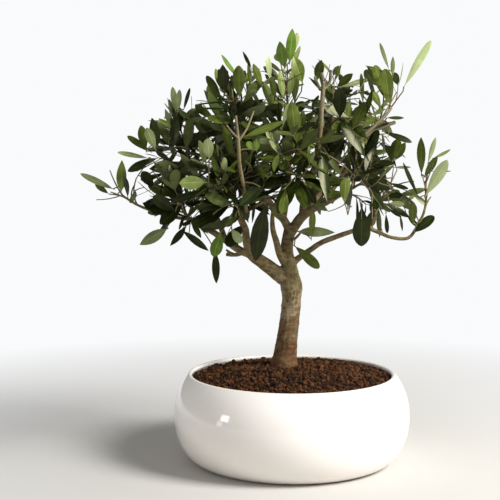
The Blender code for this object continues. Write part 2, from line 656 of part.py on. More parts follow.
def make_bowl(collection):
    """A shell of even wall with a thick floor, open at the top, with a rolled lip."""
    glaze = plain_material("white_glazed_ceramic", (0.9, 0.88, 0.86), 0.15)
    lip = BOWL_WALL / 2
    lip_height = BOWL_HEIGHT - lip
    lip_middle = bowl_side(lip_height) - lip
    inner = [(BOWL_FOOT_RADIUS, BOWL_FLOOR), *bowl_wall(BOWL_FLOOR + BOWL_WALL, lip_height, BOWL_WALL)]
    rolled = [(lip_middle + lip * math.cos(a), lip_height + lip * math.sin(a))
              for a in (math.radians(135), math.radians(90), math.radians(45))]
    foot = [(bowl_side(z), z) for z in eased(0, BOWL_BELLY_HEIGHT, BOWL_ARC_STEPS)]
    outer = foot + bowl_wall(BOWL_BELLY_HEIGHT, lip_height, 0)[1:]
    profile = [(0, BOWL_FLOOR), *inner, *rolled, *outer[::-1], (0, 0)]
    return turned("bowl", profile, collection, glaze)


def gravel_height(x, y, edge_radius):
    """The height of the mound's even slope, before its lumps."""
    out = math.hypot(x, y)
    slope_radius = (GRAVEL_CREST_RADIUS + edge_radius) / 2
    if out < GRAVEL_CREST_RADIUS:
        return GRAVEL_CREST_HEIGHT
    if out < slope_radius:
        share = (out - GRAVEL_CREST_RADIUS) / (slope_radius - GRAVEL_CREST_RADIUS)
        return GRAVEL_CREST_HEIGHT + (GRAVEL_SLOPE_HEIGHT - GRAVEL_CREST_HEIGHT) * share
    share = (out - slope_radius) / (edge_radius - slope_radius)
    return GRAVEL_SLOPE_HEIGHT + (GRAVEL_EDGE_HEIGHT - GRAVEL_SLOPE_HEIGHT) * share


def gravel_lumps(edge_radius):
    """Peaks and hollows over the mound, in from its edge. The trunk's footing stays flat."""
    chance = random.Random(GRAVEL_SEED)
    reach = math.ceil(2 * edge_radius / GRAVEL_LATTICE)
    foot_x, foot_y = TRUNK[0][0] * CM, TRUNK[0][1] * CM
    stray = GRAVEL_STRAY * GRAVEL_LATTICE
    lumps = []
    for i in range(-reach, reach + 1):
        for j in range(-reach, reach + 1):
            x = GRAVEL_LATTICE * (i + j / 2) + chance.uniform(-stray, stray)
            y = GRAVEL_LATTICE * j * math.sqrt(3) / 2 + chance.uniform(-stray, stray)
            rise = GRAVEL_LUMP_HEIGHT if (i - j) % 3 == 0 else -GRAVEL_HOLLOW_DEPTH
            rise *= chance.uniform(*GRAVEL_UNEVEN)
            if math.hypot(x, y) > edge_radius - GRAVEL_LATTICE / 2:
                continue
            from_footing = math.hypot(x - foot_x, y - foot_y) - GRAVEL_FOOTING_RADIUS
            share = min(1.0, max(0.0, from_footing / GRAVEL_FOOTING_EDGE))
            lumps.append((x, y, gravel_height(x, y, edge_radius) + rise * share))
    return lumps


def make_gravel(collection):
    """The bowl's filling, clear of its wall and floor, with a lumpy top round the trunk's foot."""
    side = bowl_wall(BOWL_FLOOR + BOWL_WALL, GRAVEL_EDGE_HEIGHT, BOWL_WALL + 2 * GAP)
    rings = [*side[::-1], (BOWL_FOOT_RADIUS - 2 * GAP, BOWL_FLOOR + GAP)]
    turns = [2 * math.pi * k / TURNED_STEPS for k in range(TURNED_STEPS)]
    points = [(radius * math.cos(t), radius * math.sin(t), z) for radius, z in rings for t in turns]
    faces = [tuple(range(len(points) - TURNED_STEPS, len(points)))[::-1]]
    for ring in range(len(rings) - 1):
        for k in range(TURNED_STEPS):
            a = ring * TURNED_STEPS + k
            b = ring * TURNED_STEPS + (k + 1) % TURNED_STEPS
            faces.append((a, a + TURNED_STEPS, b + TURNED_STEPS, b))
    lumps = gravel_lumps(side[-1][0])
    top = list(range(TURNED_STEPS)) + list(range(len(points), len(points) + len(lumps)))
    points += lumps
    flat = [Vector(points[i][:2]) for i in top]
    _, _, triangles, origins, _, _ = delaunay_2d_cdt(flat, [], [], 0, CURVE_WELD)
    faces += [tuple(top[origins[i][0]] for i in triangle) for triangle in triangles]
    mesh = bpy.data.meshes.new("gravel")
    mesh.from_pydata(points, [], faces)
    link("gravel", mesh, collection, plain_material("brown_lava_gravel", (0.06, 0.03, 0.014), 0.9))


def keep_largest_body(mesh):
    """Keeps the largest shell alone, which fills sealed hollows and drops loose scraps."""
    bm = bmesh.new()
    bm.from_mesh(mesh)
    seen, shells = set(), []
    for face in bm.faces:
        if face in seen:
            continue
        shell, queue = [], [face]
        seen.add(face)
        while queue:
            at = queue.pop()
            shell.append(at)
            for edge in at.edges:
                for near in edge.link_faces:
                    if near not in seen:
                        seen.add(near)
                        queue.append(near)
        shells.append(shell)

    def volume(shell):
        return sum(a.co.dot(b.co.cross(c.co)) for f in shell
                   for a, b, c in ((f.verts[0], *pair) for pair in zip(f.verts[1:], f.verts[2:])))

    largest = max(shells, key=volume)
    spare = [face for shell in shells if shell is not largest for face in shell]
    bmesh.ops.delete(bm, geom=spare, context="FACES")
    loose = [vertex for vertex in bm.verts if not vertex.link_faces]
    bmesh.ops.delete(bm, geom=loose, context="VERTS")
    bm.to_mesh(mesh)
    bm.free()


def make_mass(growth, collection, material):
    """One body of stem, twigs and leaves: a Boolean union on a collection, applied."""
    name = growth.mass.name
    pieces = bpy.data.collections.new(name + "_pieces")
    bpy.context.scene.collection.children.link(pieces)
    for i, twig in enumerate(growth.twigs):
        link(f"{name}_twig_{i}", tube_mesh(f"{name}_twig_{i}", twig, TWIG_SIDES), pieces)
    for i, leaf in enumerate(growth.leaves):
        link(f"{name}_leaf_{i}", leaf_mesh(f"{name}_leaf_{i}", leaf), pieces)
    obj = link(name, tube_mesh(name, growth.stem, STEM_SIDES), collection, material)
    union = obj.modifiers.new("Join", "BOOLEAN")
    union.operation = "UNION"
    union.operand_type = "COLLECTION"
    union.collection = pieces
    union.solver = "MANIFOLD"
    bpy.context.view_layer.update()
    joined = bpy.data.meshes.new_from_object(obj.evaluated_get(bpy.context.evaluated_depsgraph_get()))
    obj.modifiers.remove(union)
    obj.data = joined
    keep_largest_body(joined)
    joined.materials.clear()
    joined.materials.append(material)
    for piece in list(pieces.objects):
        bpy.data.objects.remove(piece)
    bpy.data.collections.remove(pieces)
    return obj


def cut_clear(obj, cutter):
    """Cuts the cutter's shape out of obj."""
    cut = obj.modifiers.new("Clear of " + cutter.name, "BOOLEAN")
    cut.operation = "DIFFERENCE"
    cut.object = cutter


def make_limbs(limbs, parts, cutters):
    """The trunk and the boughs, each cut clear of its parent by that parent's swollen copy."""
    bark = plain_material("olive_bark", (0.16, 0.11, 0.06), 0.85)
    swollen = {}
    for name, limb in limbs.items():
        level = 3 if name == "trunk" else 1
        curve_to_mesh(limb_curve(name, limb, parts, level), name, parts, bark)
        cutter_name = name + "_cutter"
        cutter = curve_to_mesh(limb_curve(cutter_name, limb, cutters, level, GAP), cutter_name, cutters)
        cutter.hide_render = True
        cutter.display_type = "WIRE"
        swollen[name] = cutter
    for bough in BOUGHS:
        for other in (bough.parent, *bough.clear_of):
            cut_clear(bpy.data.objects[bough.name], swollen[other])


def main():
    for obj in list(bpy.data.objects):
        bpy.data.objects.remove(obj)
    parts = bpy.data.collections.new("olive_bonsai")
    cutters = bpy.data.collections.new("cutters")
    for collection in (parts, cutters):
        bpy.context.scene.collection.children.link(collection)
    limbs = {"trunk": smooth_line(TRUNK)}
    for bough in BOUGHS:
        limbs[bough.name] = smooth_line(bough.stations)
    make_bowl(parts)
    make_gravel(parts)
    make_limbs(limbs, parts, cutters)
    leaf_green = plain_material("olive_leaf", (0.07, 0.1, 0.03), 0.4)
    for growth in grow_crown(MASSES, limbs):
        make_mass(growth, parts, leaf_green)


main()
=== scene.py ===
"""Looks of the olive bonsai: glazed bowl, lava gravel, bark with its relief, twigs and leaves.

Everything grows by the part's own rule, from its stations and seeds, and is carried on to
finer twigs and to more and smaller leaves. The trunk is led on down into the gravel, and the
boughs named left and mid are a little thicker. Metres, +Z up, with the tree's front to -Y.
"""

import math
import random
from collections import namedtuple

import bmesh
import bpy
import numpy as np
from mathutils import Matrix, Vector, noise
from mathutils.bvhtree import BVHTree


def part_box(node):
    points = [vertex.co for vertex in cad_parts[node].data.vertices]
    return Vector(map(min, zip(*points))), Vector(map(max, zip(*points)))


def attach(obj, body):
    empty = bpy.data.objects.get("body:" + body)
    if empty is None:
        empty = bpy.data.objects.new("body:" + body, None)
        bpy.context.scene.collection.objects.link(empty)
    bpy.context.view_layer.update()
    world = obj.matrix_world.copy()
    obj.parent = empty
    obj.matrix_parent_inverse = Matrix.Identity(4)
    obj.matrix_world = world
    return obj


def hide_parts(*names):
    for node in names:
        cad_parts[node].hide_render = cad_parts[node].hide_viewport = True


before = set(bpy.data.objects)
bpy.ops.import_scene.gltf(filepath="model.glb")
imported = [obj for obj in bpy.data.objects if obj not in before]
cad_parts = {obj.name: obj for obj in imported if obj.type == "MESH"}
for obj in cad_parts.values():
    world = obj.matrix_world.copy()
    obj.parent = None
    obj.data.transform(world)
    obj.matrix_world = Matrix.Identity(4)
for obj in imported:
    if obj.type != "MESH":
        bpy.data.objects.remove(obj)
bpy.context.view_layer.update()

MM = 0.001
CM = 0.01
UP = Vector((0, 0, 1))


def add_object(name, data):
    """A new object in the scene."""
    made = bpy.data.objects.new(name, data)
    bpy.context.scene.collection.objects.link(made)
    return made


# ---------------------------------------------------------------- the camera

# A view from table height, with the bowl a little right of the middle. The two turns are
# stated as the pixels that they shift the view by, at this width and focal length in pixels.
VIEW_PX = 500
FOCAL_PX = 1080
CAMERA_PLACE = (0, -0.73, 0.202)
TURNED_DOWN_PX = 87
TURNED_LEFT_PX = 42
SENSOR_WIDTH_MM = 36
NEAREST_SEEN = 1 * CM


def place_camera():
    lens = bpy.data.cameras.new("view")
    lens.sensor_width = SENSOR_WIDTH_MM
    lens.lens = FOCAL_PX / VIEW_PX * SENSOR_WIDTH_MM
    lens.clip_start = NEAREST_SEEN
    camera = add_object("view", lens)
    camera.location = CAMERA_PLACE
    down, left = math.atan(TURNED_DOWN_PX / FOCAL_PX), math.atan(TURNED_LEFT_PX / FOCAL_PX)
    camera.rotation_euler = (math.pi / 2 - down, 0, left)
    bpy.context.scene.camera = camera


place_camera()

# ---------------------------------------------------------------- the tree's own measures

# Limbs are drawn through a few stations: x, y, z and radius, in centimetres.
TRUNK = [
    (-0.5, 1.0, 6.0, 1.12), (-0.5, 1.0, 6.48, 0.93), (-0.45, 1.0, 6.9, 0.83),
    (-0.32, 1.0, 7.9, 0.75), (-0.15, 0.95, 9.4, 0.67), (0.0, 0.9, 10.9, 0.67),
    (-0.02, 0.85, 11.7, 0.76), (-0.12, 0.8, 12.5, 0.66), (-0.22, 0.75, 13.3, 0.52),
    (-0.36, 0.7, 14.2, 0.45), (-0.26, 0.65, 15.1, 0.42), (-0.1, 0.6, 15.9, 0.4),
]
BOUGHS = {
    "bough_left": [
        (-0.1, 0.8, 12.0, 0.55), (-0.75, 0.65, 12.5, 0.53), (-1.4, 0.45, 13.0, 0.49),
        (-2.05, 0.25, 13.5, 0.45), (-2.75, 0.0, 14.05, 0.39), (-3.05, -0.5, 15.0, 0.29),
        (-3.1, -1.4, 15.8, 0.25), (-3.4, -2.3, 16.6, 0.22),
    ],
    "bough_left_low": [
        (-2.55, 0.05, 13.9, 0.27), (-3.35, 0.1, 14.2, 0.27), (-4.0, 0.0, 14.6, 0.25),
        (-4.6, -0.2, 15.05, 0.23), (-5.4, -0.4, 15.6, 0.21), (-6.2, -0.6, 16.0, 0.18),
    ],
    "bough_left_back": [
        (-4.5, -0.17, 15.0, 0.2), (-5.0, 0.5, 16.2, 0.19), (-5.6, 0.9, 17.4, 0.17),
        (-6.3, 0.8, 18.7, 0.16),
    ],
    "bough_left_tip": [
        (-4.95, 0.45, 16.1, 0.15), (-6.2, 1.0, 16.3, 0.14), (-7.6, 1.0, 16.4, 0.13),
        (-8.8, 0.5, 16.7, 0.12), (-9.9, 0.1, 17.1, 0.11),
    ],
    "bough_upper_right": [
        (-0.1, 0.6, 15.4, 0.34), (0.45, 0.55, 16.3, 0.35), (0.95, 0.45, 16.8, 0.32),
        (1.5, 0.3, 17.15, 0.27), (2.2, -0.1, 17.5, 0.22), (2.9, -0.7, 17.9, 0.18),
    ],
    "bough_upper_left": [
        (-0.15, 0.62, 15.5, 0.3), (-0.55, 0.5, 16.35, 0.28), (-1.1, 0.35, 16.85, 0.25),
        (-1.55, 0.25, 17.6, 0.22), (-2.4, 0.1, 18.5, 0.2), (-3.0, 0.0, 19.6, 0.18),
        (-3.3, -0.1, 20.8, 0.165),
    ],
    "bough_top": [
        (-0.55, 0.5, 16.3, 0.17), (-0.4, 1.0, 17.2, 0.15), (-0.2, 1.3, 18.8, 0.145),
        (-0.2, 1.4, 20.4, 0.14), (-0.3, 1.3, 21.6, 0.135),
    ],
    "bough_back_left": [
        (-1.3, 0.3, 17.15, 0.17), (-1.8, 1.2, 17.8, 0.17), (-2.3, 2.2, 18.4, 0.16),
    ],
    "bough_leader": [
        (0.7, 0.5, 16.5, 0.27), (0.8, 0.6, 17.5, 0.26), (1.05, 0.6, 18.7, 0.25),
        (1.6, 0.4, 20.0, 0.24), (2.2, 0.1, 21.3, 0.23),
    ],
    "bough_right_rise": [
        (2.0, 0.1, 17.45, 0.17), (2.9, 0.6, 18.6, 0.16), (3.8, 0.8, 20.0, 0.155),
        (4.7, 0.6, 21.3, 0.15),
    ],
    "bough_back_right": [
        (0.55, 0.55, 16.4, 0.2), (1.2, 1.5, 17.2, 0.19), (1.9, 2.4, 18.0, 0.17),
    ],
    "bough_mid": [
        (-0.2, 0.75, 12.9, 0.27), (-0.78, 0.2, 13.9, 0.25), (-1.05, -0.2, 14.9, 0.22),
        (-1.3, -0.6, 15.9, 0.18), (-1.25, -1.2, 17.0, 0.14), (-0.9, -1.9, 17.9, 0.13),
    ],
    "bough_right": [
        (-0.1, 0.75, 13.2, 0.24), (0.45, 0.7, 13.7, 0.22), (1.2, 0.55, 14.25, 0.2),
        (2.1, 0.35, 14.85, 0.19), (3.9, 0.05, 15.55, 0.17), (4.9, 0.0, 15.85, 0.16),
        (5.7, 0.0, 15.6, 0.145), (6.7, 0.0, 15.2, 0.13), (7.8, 0.0, 15.15, 0.12),
        (8.35, -0.05, 15.8, 0.11), (8.7, -0.1, 16.5, 0.105),
    ],
    "bough_right_fork": [
        (5.3, 0.0, 15.75, 0.12), (5.5, 0.3, 16.3, 0.12), (5.7, 0.5, 16.9, 0.115),
    ],
    "trunk_spur": [
        (-0.25, 0.6, 14.9, 0.12), (0.2, 0.1, 15.1, 0.11), (0.45, -0.2, 15.35, 0.1),
    ],
    "pruned_stub": [
        (-3.2, 0.1, 14.15, 0.15), (-3.8, 0.45, 13.95, 0.14), (-4.5, 0.6, 13.95, 0.12),
    ],
}

# A mass fills an ellipsoid of this centre and these radii, in centimetres. Its stem ends at
# its heart, shoots are where its longest twigs end, twigs is how many more it sends out
# evenly all round, youth makes its sprays younger and lighter, leafy is the share of its
# pairs of leaves that have not been shed, and marks are single leaves that show on their own.
Mass = namedtuple("Mass", "name bough centre radii heart twigs seed youth leafy shoots marks")
# A marked leaf: root and tip in centimetres, width in millimetres, its tint, and the way its
# upper side faces where that isn't simply forward.
Mark = namedtuple("Mark", "root tip width tint face", defaults=(None,))

MASSES = [
    Mass("foliage_left_tip", "bough_left_tip", (-11.2, -0.1, 19.0), (3.9, 3.2, 3.0),
         (-11.5, 0.0, 18.0), 4, 11, 0.1, 0.12, [(-12.4, -0.2, 18.1)], [
             Mark((-12.0, -0.2, 18.4), (-14.3, -0.4, 19.5), 4.5, "silver"),
             Mark((-11.5, -0.6, 18.2), (-11.4, -0.9, 20.4), 7, "olive"),
             Mark((-11.1, -0.2, 17.8), (-11.1, -1.6, 19.3), 5, "deep"),
             Mark((-9.3, -1.2, 20.5), (-11.0, -1.4, 19.7), 6, "deep"),
             Mark((-9.4, -1.6, 20.5), (-11.5, -2.0, 20.9), 3.5, "silver"),
             Mark((-9.2, -1.0, 18.5), (-10.0, -1.4, 19.7), 7.5, "deep"),
         ]),
    Mass("foliage_left_top", "bough_left_back", (-7.5, 0.6, 21.0), (4.0, 4.4, 4.4),
         (-7.1, 0.6, 20.9), 8, 12, 0.0, 0.8, [(-7.8, 0.2, 23.2)], [
             Mark((-9.4, -0.6, 20.9), (-11.0, -0.9, 22.0), 4.5, "green"),
             Mark((-8.9, -1.2, 21.2), (-9.3, -1.4, 23.2), 7, "deep"),
             Mark((-9.6, -1.8, 20.9), (-9.9, -2.4, 22.7), 6.5, "green"),
             Mark((-7.9, -1.2, 21.1), (-7.7, -1.6, 23.3), 7.5, "deep"),
             Mark((-7.0, -1.9, 21.1), (-6.6, -2.4, 23.1), 7, "green"),
             Mark((-7.8, -0.2, 23.5), (-8.0, -0.3, 25.3), 4.5, "silver"),
             Mark((-7.7, -0.3, 23.5), (-7.5, -0.5, 25.1), 4.2, "silver"),
             Mark((-7.3, -0.2, 23.7), (-6.9, 0.2, 25.3), 2.6, "deep"),
             Mark((-8.9, -2.3, 21.0), (-9.5, -2.6, 22.5), 6.5, "silver"),
         ]),
    Mass("foliage_left_low", "bough_left_low", (-7.3, -1.9, 17.9), (4.0, 4.4, 3.6),
         (-7.4, -1.6, 17.4), 8, 13, -0.25, 0.8, [], [
             Mark((-8.2, -1.6, 15.9), (-10.1, -1.9, 14.8), 8, "silver"),
             Mark((-7.0, -1.6, 16.0), (-8.1, -1.6, 14.7), 5, "deep"),
             Mark((-7.5, -3.0, 17.0), (-9.0, -3.6, 18.1), 8, "deep"),
             Mark((-7.1, -2.6, 17.5), (-8.6, -3.2, 16.2), 8.5, "deep"),
             Mark((-7.4, -1.5, 15.8), (-5.5, -1.6, 14.4), 5, "deep"),
             Mark((-5.1, -1.4, 14.4), (-5.0, -1.6, 12.2), 5.5, "deep"),
             Mark((-5.3, -5.6, 19.0), (-7.0, -6.0, 19.0), 9, "young"),
         ]),
    Mass("foliage_front_left", "bough_left", (-3.6, -4.2, 18.8), (4.2, 4.3, 4.6),
         (-3.8, -3.8, 18.6), 9, 14, -0.15, 0.95, [], [
             Mark((-4.6, -2.9, 15.8), (-5.1, -3.0, 14.1), 8.5, "bright"),
             Mark((-1.7, -3.6, 17.6), (-2.5, -3.0, 13.7), 11.5, "deep"),
             Mark((-5.1, -6.2, 20.4), (-5.2, -6.6, 21.7), 7, "silver"),
             Mark((-3.7, -5.6, 17.6), (-5.5, -6.6, 18.2), 7, "green"),
             Mark((-4.9, -4.9, 17.0), (-6.3, -5.6, 16.5), 7, "deep"),
             Mark((-3.2, -1.8, 16.2), (-4.3, -2.0, 14.7), 9, "deep"),
             Mark((-4.0, -2.2, 15.9), (-3.3, -2.4, 15.0), 6, "pale"),
             Mark((-2.8, -3.8, 16.4), (-3.3, -4.4, 17.9), 8, "deep"),
         ]),
    Mass("foliage_upper_left", "bough_upper_left", (-3.6, -0.4, 23.4), (4.0, 4.6, 4.6),
         (-3.6, -0.2, 22.8), 8, 15, 0.1, 0.85, [(-4.2, -0.4, 24.7)], [
             Mark((-4.7, -0.6, 24.4), (-5.7, -0.8, 26.0), 5.5, "green"),
             Mark((-4.5, -0.9, 24.9), (-4.6, -1.0, 26.7), 8, "deep"),
             Mark((-3.5, -1.2, 24.4), (-3.5, -1.4, 26.6), 8.5, "green"),
             Mark((-2.7, -0.6, 26.4), (-3.3, -0.6, 27.6), 2.4, "deep"),
             Mark((-4.0, -3.2, 21.0), (-4.3, -3.6, 22.6), 6, "olive"),
         ]),
    Mass("foliage_top", "bough_top", (-0.4, 0.9, 24.3), (3.2, 4.6, 5.4),
         (-0.3, 1.0, 23.6), 6, 16, 0.35, 0.5, [(-0.35, 0.4, 26.8), (0.6, 0.6, 25.0)], [
             Mark((-0.2, 0.4, 26.8), (0.0, 0.3, 29.3), 7, "bright"),
             Mark((-0.5, 0.1, 26.5), (-0.9, -0.1, 28.3), 8, "bright"),
             Mark((-0.1, 0.3, 26.3), (0.5, 0.2, 28.1), 3, "young"),
             Mark((-1.5, -0.2, 25.7), (-1.6, -0.4, 27.3), 4.2, "pale"),
             Mark((0.7, -0.4, 25.4), (0.1, -0.5, 27.3), 9, "olive"),
             Mark((-0.6, -0.9, 24.4), (-0.8, -1.1, 26.3), 5, "young"),
             Mark((-0.2, -0.7, 24.5), (0.0, -0.9, 26.3), 4.5, "young"),
             Mark((-1.1, -1.0, 24.4), (-1.4, -1.4, 25.8), 4.5, "olive"),
             Mark((-2.0, -0.4, 25.2), (-2.6, -0.6, 26.8), 5, "olive"),
         ]),
    Mass("foliage_centre", "bough_mid", (0.1, -3.9, 20.5), (4.2, 4.2, 4.4),
         (0.0, -3.4, 20.4), 8, 17, 0.0, 1.0, [], [
             Mark((-3.1, -5.4, 21.8), (-0.4, -5.2, 22.8), 4.5, "olive"),
             Mark((-1.9, -6.4, 18.8), (-3.2, -6.9, 17.5), 8, "deep"),
             Mark((0.5, -5.6, 21.0), (1.6, -6.2, 22.3), 6.5, "green"),
             Mark((-2.2, -6.2, 20.9), (-2.2, -6.4, 21.7), 4, "bright"),
             Mark((-2.4, -6.2, 20.9), (-2.7, -6.5, 21.5), 4, "bright"),
         ]),
    Mass("foliage_leader", "bough_leader", (3.1, -0.6, 23.3), (4.2, 4.8, 4.5),
         (2.7, -0.3, 23.9), 12, 18, 0.1, 0.65, [], [
             Mark((1.6, -0.6, 25.6), (1.9, -0.8, 27.0), 6.5, "green"),
             Mark((2.9, -0.4, 25.2), (4.0, -0.6, 26.1), 5.5, "green"),
             Mark((3.1, -0.1, 25.2), (5.4, 0.1, 26.0), 4, "silver"),
             Mark((3.1, -2.6, 23.0), (3.0, -3.2, 25.0), 9.5, "deep"),
             Mark((4.7, -0.8, 24.0), (4.5, -0.8, 26.1), 3, "green"),
             Mark((3.8, -3.2, 22.3), (4.6, -3.6, 24.1), 7.5, "green"),
         ]),
    Mass("foliage_right_top", "bough_right_rise", (6.2, 0.5, 23.4), (3.1, 4.2, 5.2),
         (6.0, 0.4, 23.0), 6, 19, 0.2, 0.4, [(7.4, 0.1, 25.0)], [
             Mark((7.4, 0.1, 25.2), (9.2, -0.1, 28.4), 5.4, "pale"),
             Mark((6.3, 0.0, 24.3), (5.5, -0.3, 26.7), 7.5, "olive"),
             Mark((6.5, -0.5, 23.9), (6.1, -0.8, 26.4), 8.5, "olive"),
             Mark((6.5, 0.3, 26.3), (5.8, 0.2, 28.2), 2.6, "silver"),
             Mark((6.7, 0.3, 25.9), (6.7, 0.3, 27.3), 3, "young"),
             Mark((5.9, -0.6, 23.8), (5.3, -0.8, 24.9), 5, "olive"),
             Mark((6.2, -0.4, 23.2), (7.4, -0.6, 23.2), 2.4, "green"),
             Mark((5.9, -0.9, 22.3), (7.9, -1.2, 21.6), 4.5, "deep"),
             Mark((4.9, 0.2, 26.7), (6.0, 0.4, 25.9), 5, "green"),
         ]),
    Mass("foliage_right_mid", "bough_upper_right", (4.4, -2.9, 18.9), (4.2, 4.3, 4.6),
         (4.5, -2.4, 18.9), 8, 20, -0.3, 0.55, [], [
             Mark((1.8, -4.6, 21.0), (2.3, -6.2, 17.9), 8.5, "deep", (0.69, -1.32, 0.75)),
             Mark((4.6, -1.6, 17.5), (4.6, -1.7, 14.7), 12, "deep"),
             Mark((3.3, -5.0, 17.6), (3.3, -5.6, 19.3), 7.5, "olive"),
         ]),
    Mass("foliage_right_low", "bough_right_fork", (6.9, 1.4, 18.3), (3.6, 4.0, 3.8),
         (6.5, 1.0, 18.4), 8, 21, -0.05, 0.4, [], [
             Mark((6.7, 0.2, 20.2), (7.1, 0.0, 21.8), 7.5, "green"),
             Mark((6.9, 0.5, 20.3), (7.6, 0.3, 21.6), 5.5, "green"),
             Mark((6.3, -0.2, 18.0), (7.4, -0.4, 18.1), 4.5, "deep"),
             Mark((6.4, -0.4, 17.5), (7.5, -0.6, 17.5), 4.5, "silver"),
             Mark((6.4, 0.1, 18.9), (7.8, -0.1, 18.5), 2.8, "deep"),
             Mark((6.7, 0.3, 19.9), (8.0, 0.2, 19.9), 2, "silver"),
             Mark((6.3, -0.2, 16.9), (6.4, -0.3, 15.5), 3, "deep"),
         ]),
    Mass("foliage_right_tip", "bough_right", (9.0, -0.5, 18.7), (2.3, 3.2, 4.0),
         (8.9, -0.3, 18.6), 5, 22, 0.25, 0.15, [(9.0, -0.4, 19.6)], [
             Mark((8.7, -1.4, 17.9), (10.1, -1.9, 20.4), 8, "pale"),
             Mark((8.6, -0.6, 19.3), (8.5, -1.0, 21.9), 6.2, "olive"),
             Mark((9.0, -0.5, 20.1), (9.5, -0.7, 21.9), 3.4, "pale"),
             Mark((8.7, -0.9, 19.2), (9.6, -1.3, 20.7), 5, "olive"),
             Mark((8.5, -0.6, 17.8), (7.2, -1.0, 20.3), 3, "deep"),
             Mark((8.1, -0.2, 15.5), (9.5, -0.4, 16.7), 7, "deep"),
             Mark((8.1, -0.5, 16.1), (8.0, -0.7, 17.7), 6, "green"),
             Mark((8.0, -0.3, 16.5), (6.8, -0.4, 17.2), 4.5, "deep"),
         ]),
    Mass("foliage_back_left", "bough_back_left", (-3.9, 5.0, 20.7), (5.0, 4.6, 5.0),
         (-3.7, 4.6, 20.2), 9, 23, -0.2, 0.7, [], []),
    Mass("foliage_back_right", "bough_back_right", (3.6, 5.1, 20.6), (5.0, 4.6, 5.0),
         (3.3, 4.6, 20.1), 9, 24, -0.2, 0.6, [], []),
    Mass("foliage_trunk_sprig", "trunk_spur", (1.3, -0.5, 15.3), (2.0, 1.6, 2.6),
         (0.6, -0.35, 15.6), 0, 25, 0.1, 1.0, [], [
             Mark((0.3, -0.4, 15.6), (2.9, -0.6, 15.6), 7, "silver"),
             Mark((0.1, -0.4, 14.7), (1.9, -0.7, 13.2), 7, "green"),
             Mark((1.3, -0.6, 15.0), (1.4, -0.9, 17.0), 4.6, "olive"),
         ]),
]

# Bare old stems that show in front of a mass, each through its stations as limbs are. The
# first one of each mass grows out of its wood.
SHOWN_STEMS = {
    "foliage_leader": [
        [(1.6, -3.0, 21.0, 0.18), (1.8, -3.6, 22.4, 0.17), (1.9, -3.2, 23.9, 0.16),
         (2.0, -2.4, 25.3, 0.15), (1.9, -2.0, 26.0, 0.13)],
        [(1.9, -2.8, 24.8, 0.11), (2.4, -2.2, 25.4, 0.1), (2.5, -1.9, 26.2, 0.11)],
        [(1.8, -2.7, 24.9, 0.1), (1.5, -2.1, 25.6, 0.09), (1.5, -2.0, 25.8, 0.1)],
    ],
    "foliage_right_top": [
        [(4.2, -2.6, 21.6, 0.13), (5.1, -2.3, 22.4, 0.12), (6.0, -1.8, 23.2, 0.11),
         (6.5, -1.2, 23.8, 0.1)],
    ],
    "foliage_centre": [
        [(-2.9, -4.4, 17.1, 0.12), (-3.0, -6.0, 18.7, 0.12), (-3.2, -6.6, 20.0, 0.11),
         (-3.3, -6.6, 21.6, 0.1), (-3.5, -5.6, 23.1, 0.08)],
        [(-3.3, -6.6, 21.5, 0.08), (-2.8, -6.2, 22.3, 0.07), (-2.4, -5.4, 23.4, 0.06)],
        [(-3.3, -6.6, 21.7, 0.07), (-3.7, -6.8, 22.1, 0.06), (-4.0, -6.8, 22.5, 0.05)],
    ],
}

# Short pegs that pruning has left on the left bough.
PRUNED_PEGS = [
    [(-3.3, 0.1, 14.2, 0.14), (-3.9, 0.3, 14.5, 0.12), (-4.5, 0.4, 14.8, 0.1)],
    [(-3.9, 0.5, 13.95, 0.1), (-4.3, 0.5, 14.15, 0.09), (-4.5, 0.5, 14.3, 0.08)],
    [(-3.6, 0.2, 14.3, 0.09), (-3.7, 0.2, 14.6, 0.08), (-3.7, 0.2, 14.8, 0.08)],
]

# Openings through the crown, seen from the front: x, z and two radii, in centimetres.
OPENINGS = [
    (7.9, 24.0, 1.0, 2.2), (7.4, 19.3, 0.9, 0.8), (9.8, 17.9, 0.8, 0.7), (3.2, 27.4, 0.8, 0.6),
    (3.3, 16.6, 0.5, 0.7), (4.4, 18.5, 0.4, 0.5), (-12.4, 17.0, 1.5, 0.8), (-9.7, 23.6, 0.4, 0.5),
    (1.2, 27.7, 0.6, 0.8), (0.9, 24.9, 0.6, 0.3), (-10.0, 17.8, 0.5, 0.3), (-13.3, 20.4, 1.5, 1.1),
    (8.0, 19.6, 0.5, 1.1), (6.6, 16.2, 0.6, 0.3), (4.0, 26.9, 0.7, 0.4), (-7.2, 24.4, 0.3, 0.7),
    (-4.2, 14.0, 0.7, 0.3), (10.3, 16.9, 0.75, 0.4), (10.9, 19.1, 0.4, 0.5), (-10.3, 16.6, 0.45, 0.9),
    (-9.0, 24.0, 0.45, 0.5), (-6.4, 25.4, 0.5, 0.4),
]

# How many steps a line takes from each station to the next.
TRUNK_STEPS = 6
WOOD_STEPS = 5
VIEW_STEPS = 3

# The plane between two masses lies nearer the smaller one, by the powers of spheres whose
# squared radii are the means of the ellipsoids' own: twice the three axes is its divisor.
PLANE_DIVISOR = 2 * 3
# Limbs this near to a mass's ellipsoid count as near it.
NEAR_REACH = 10 * MM

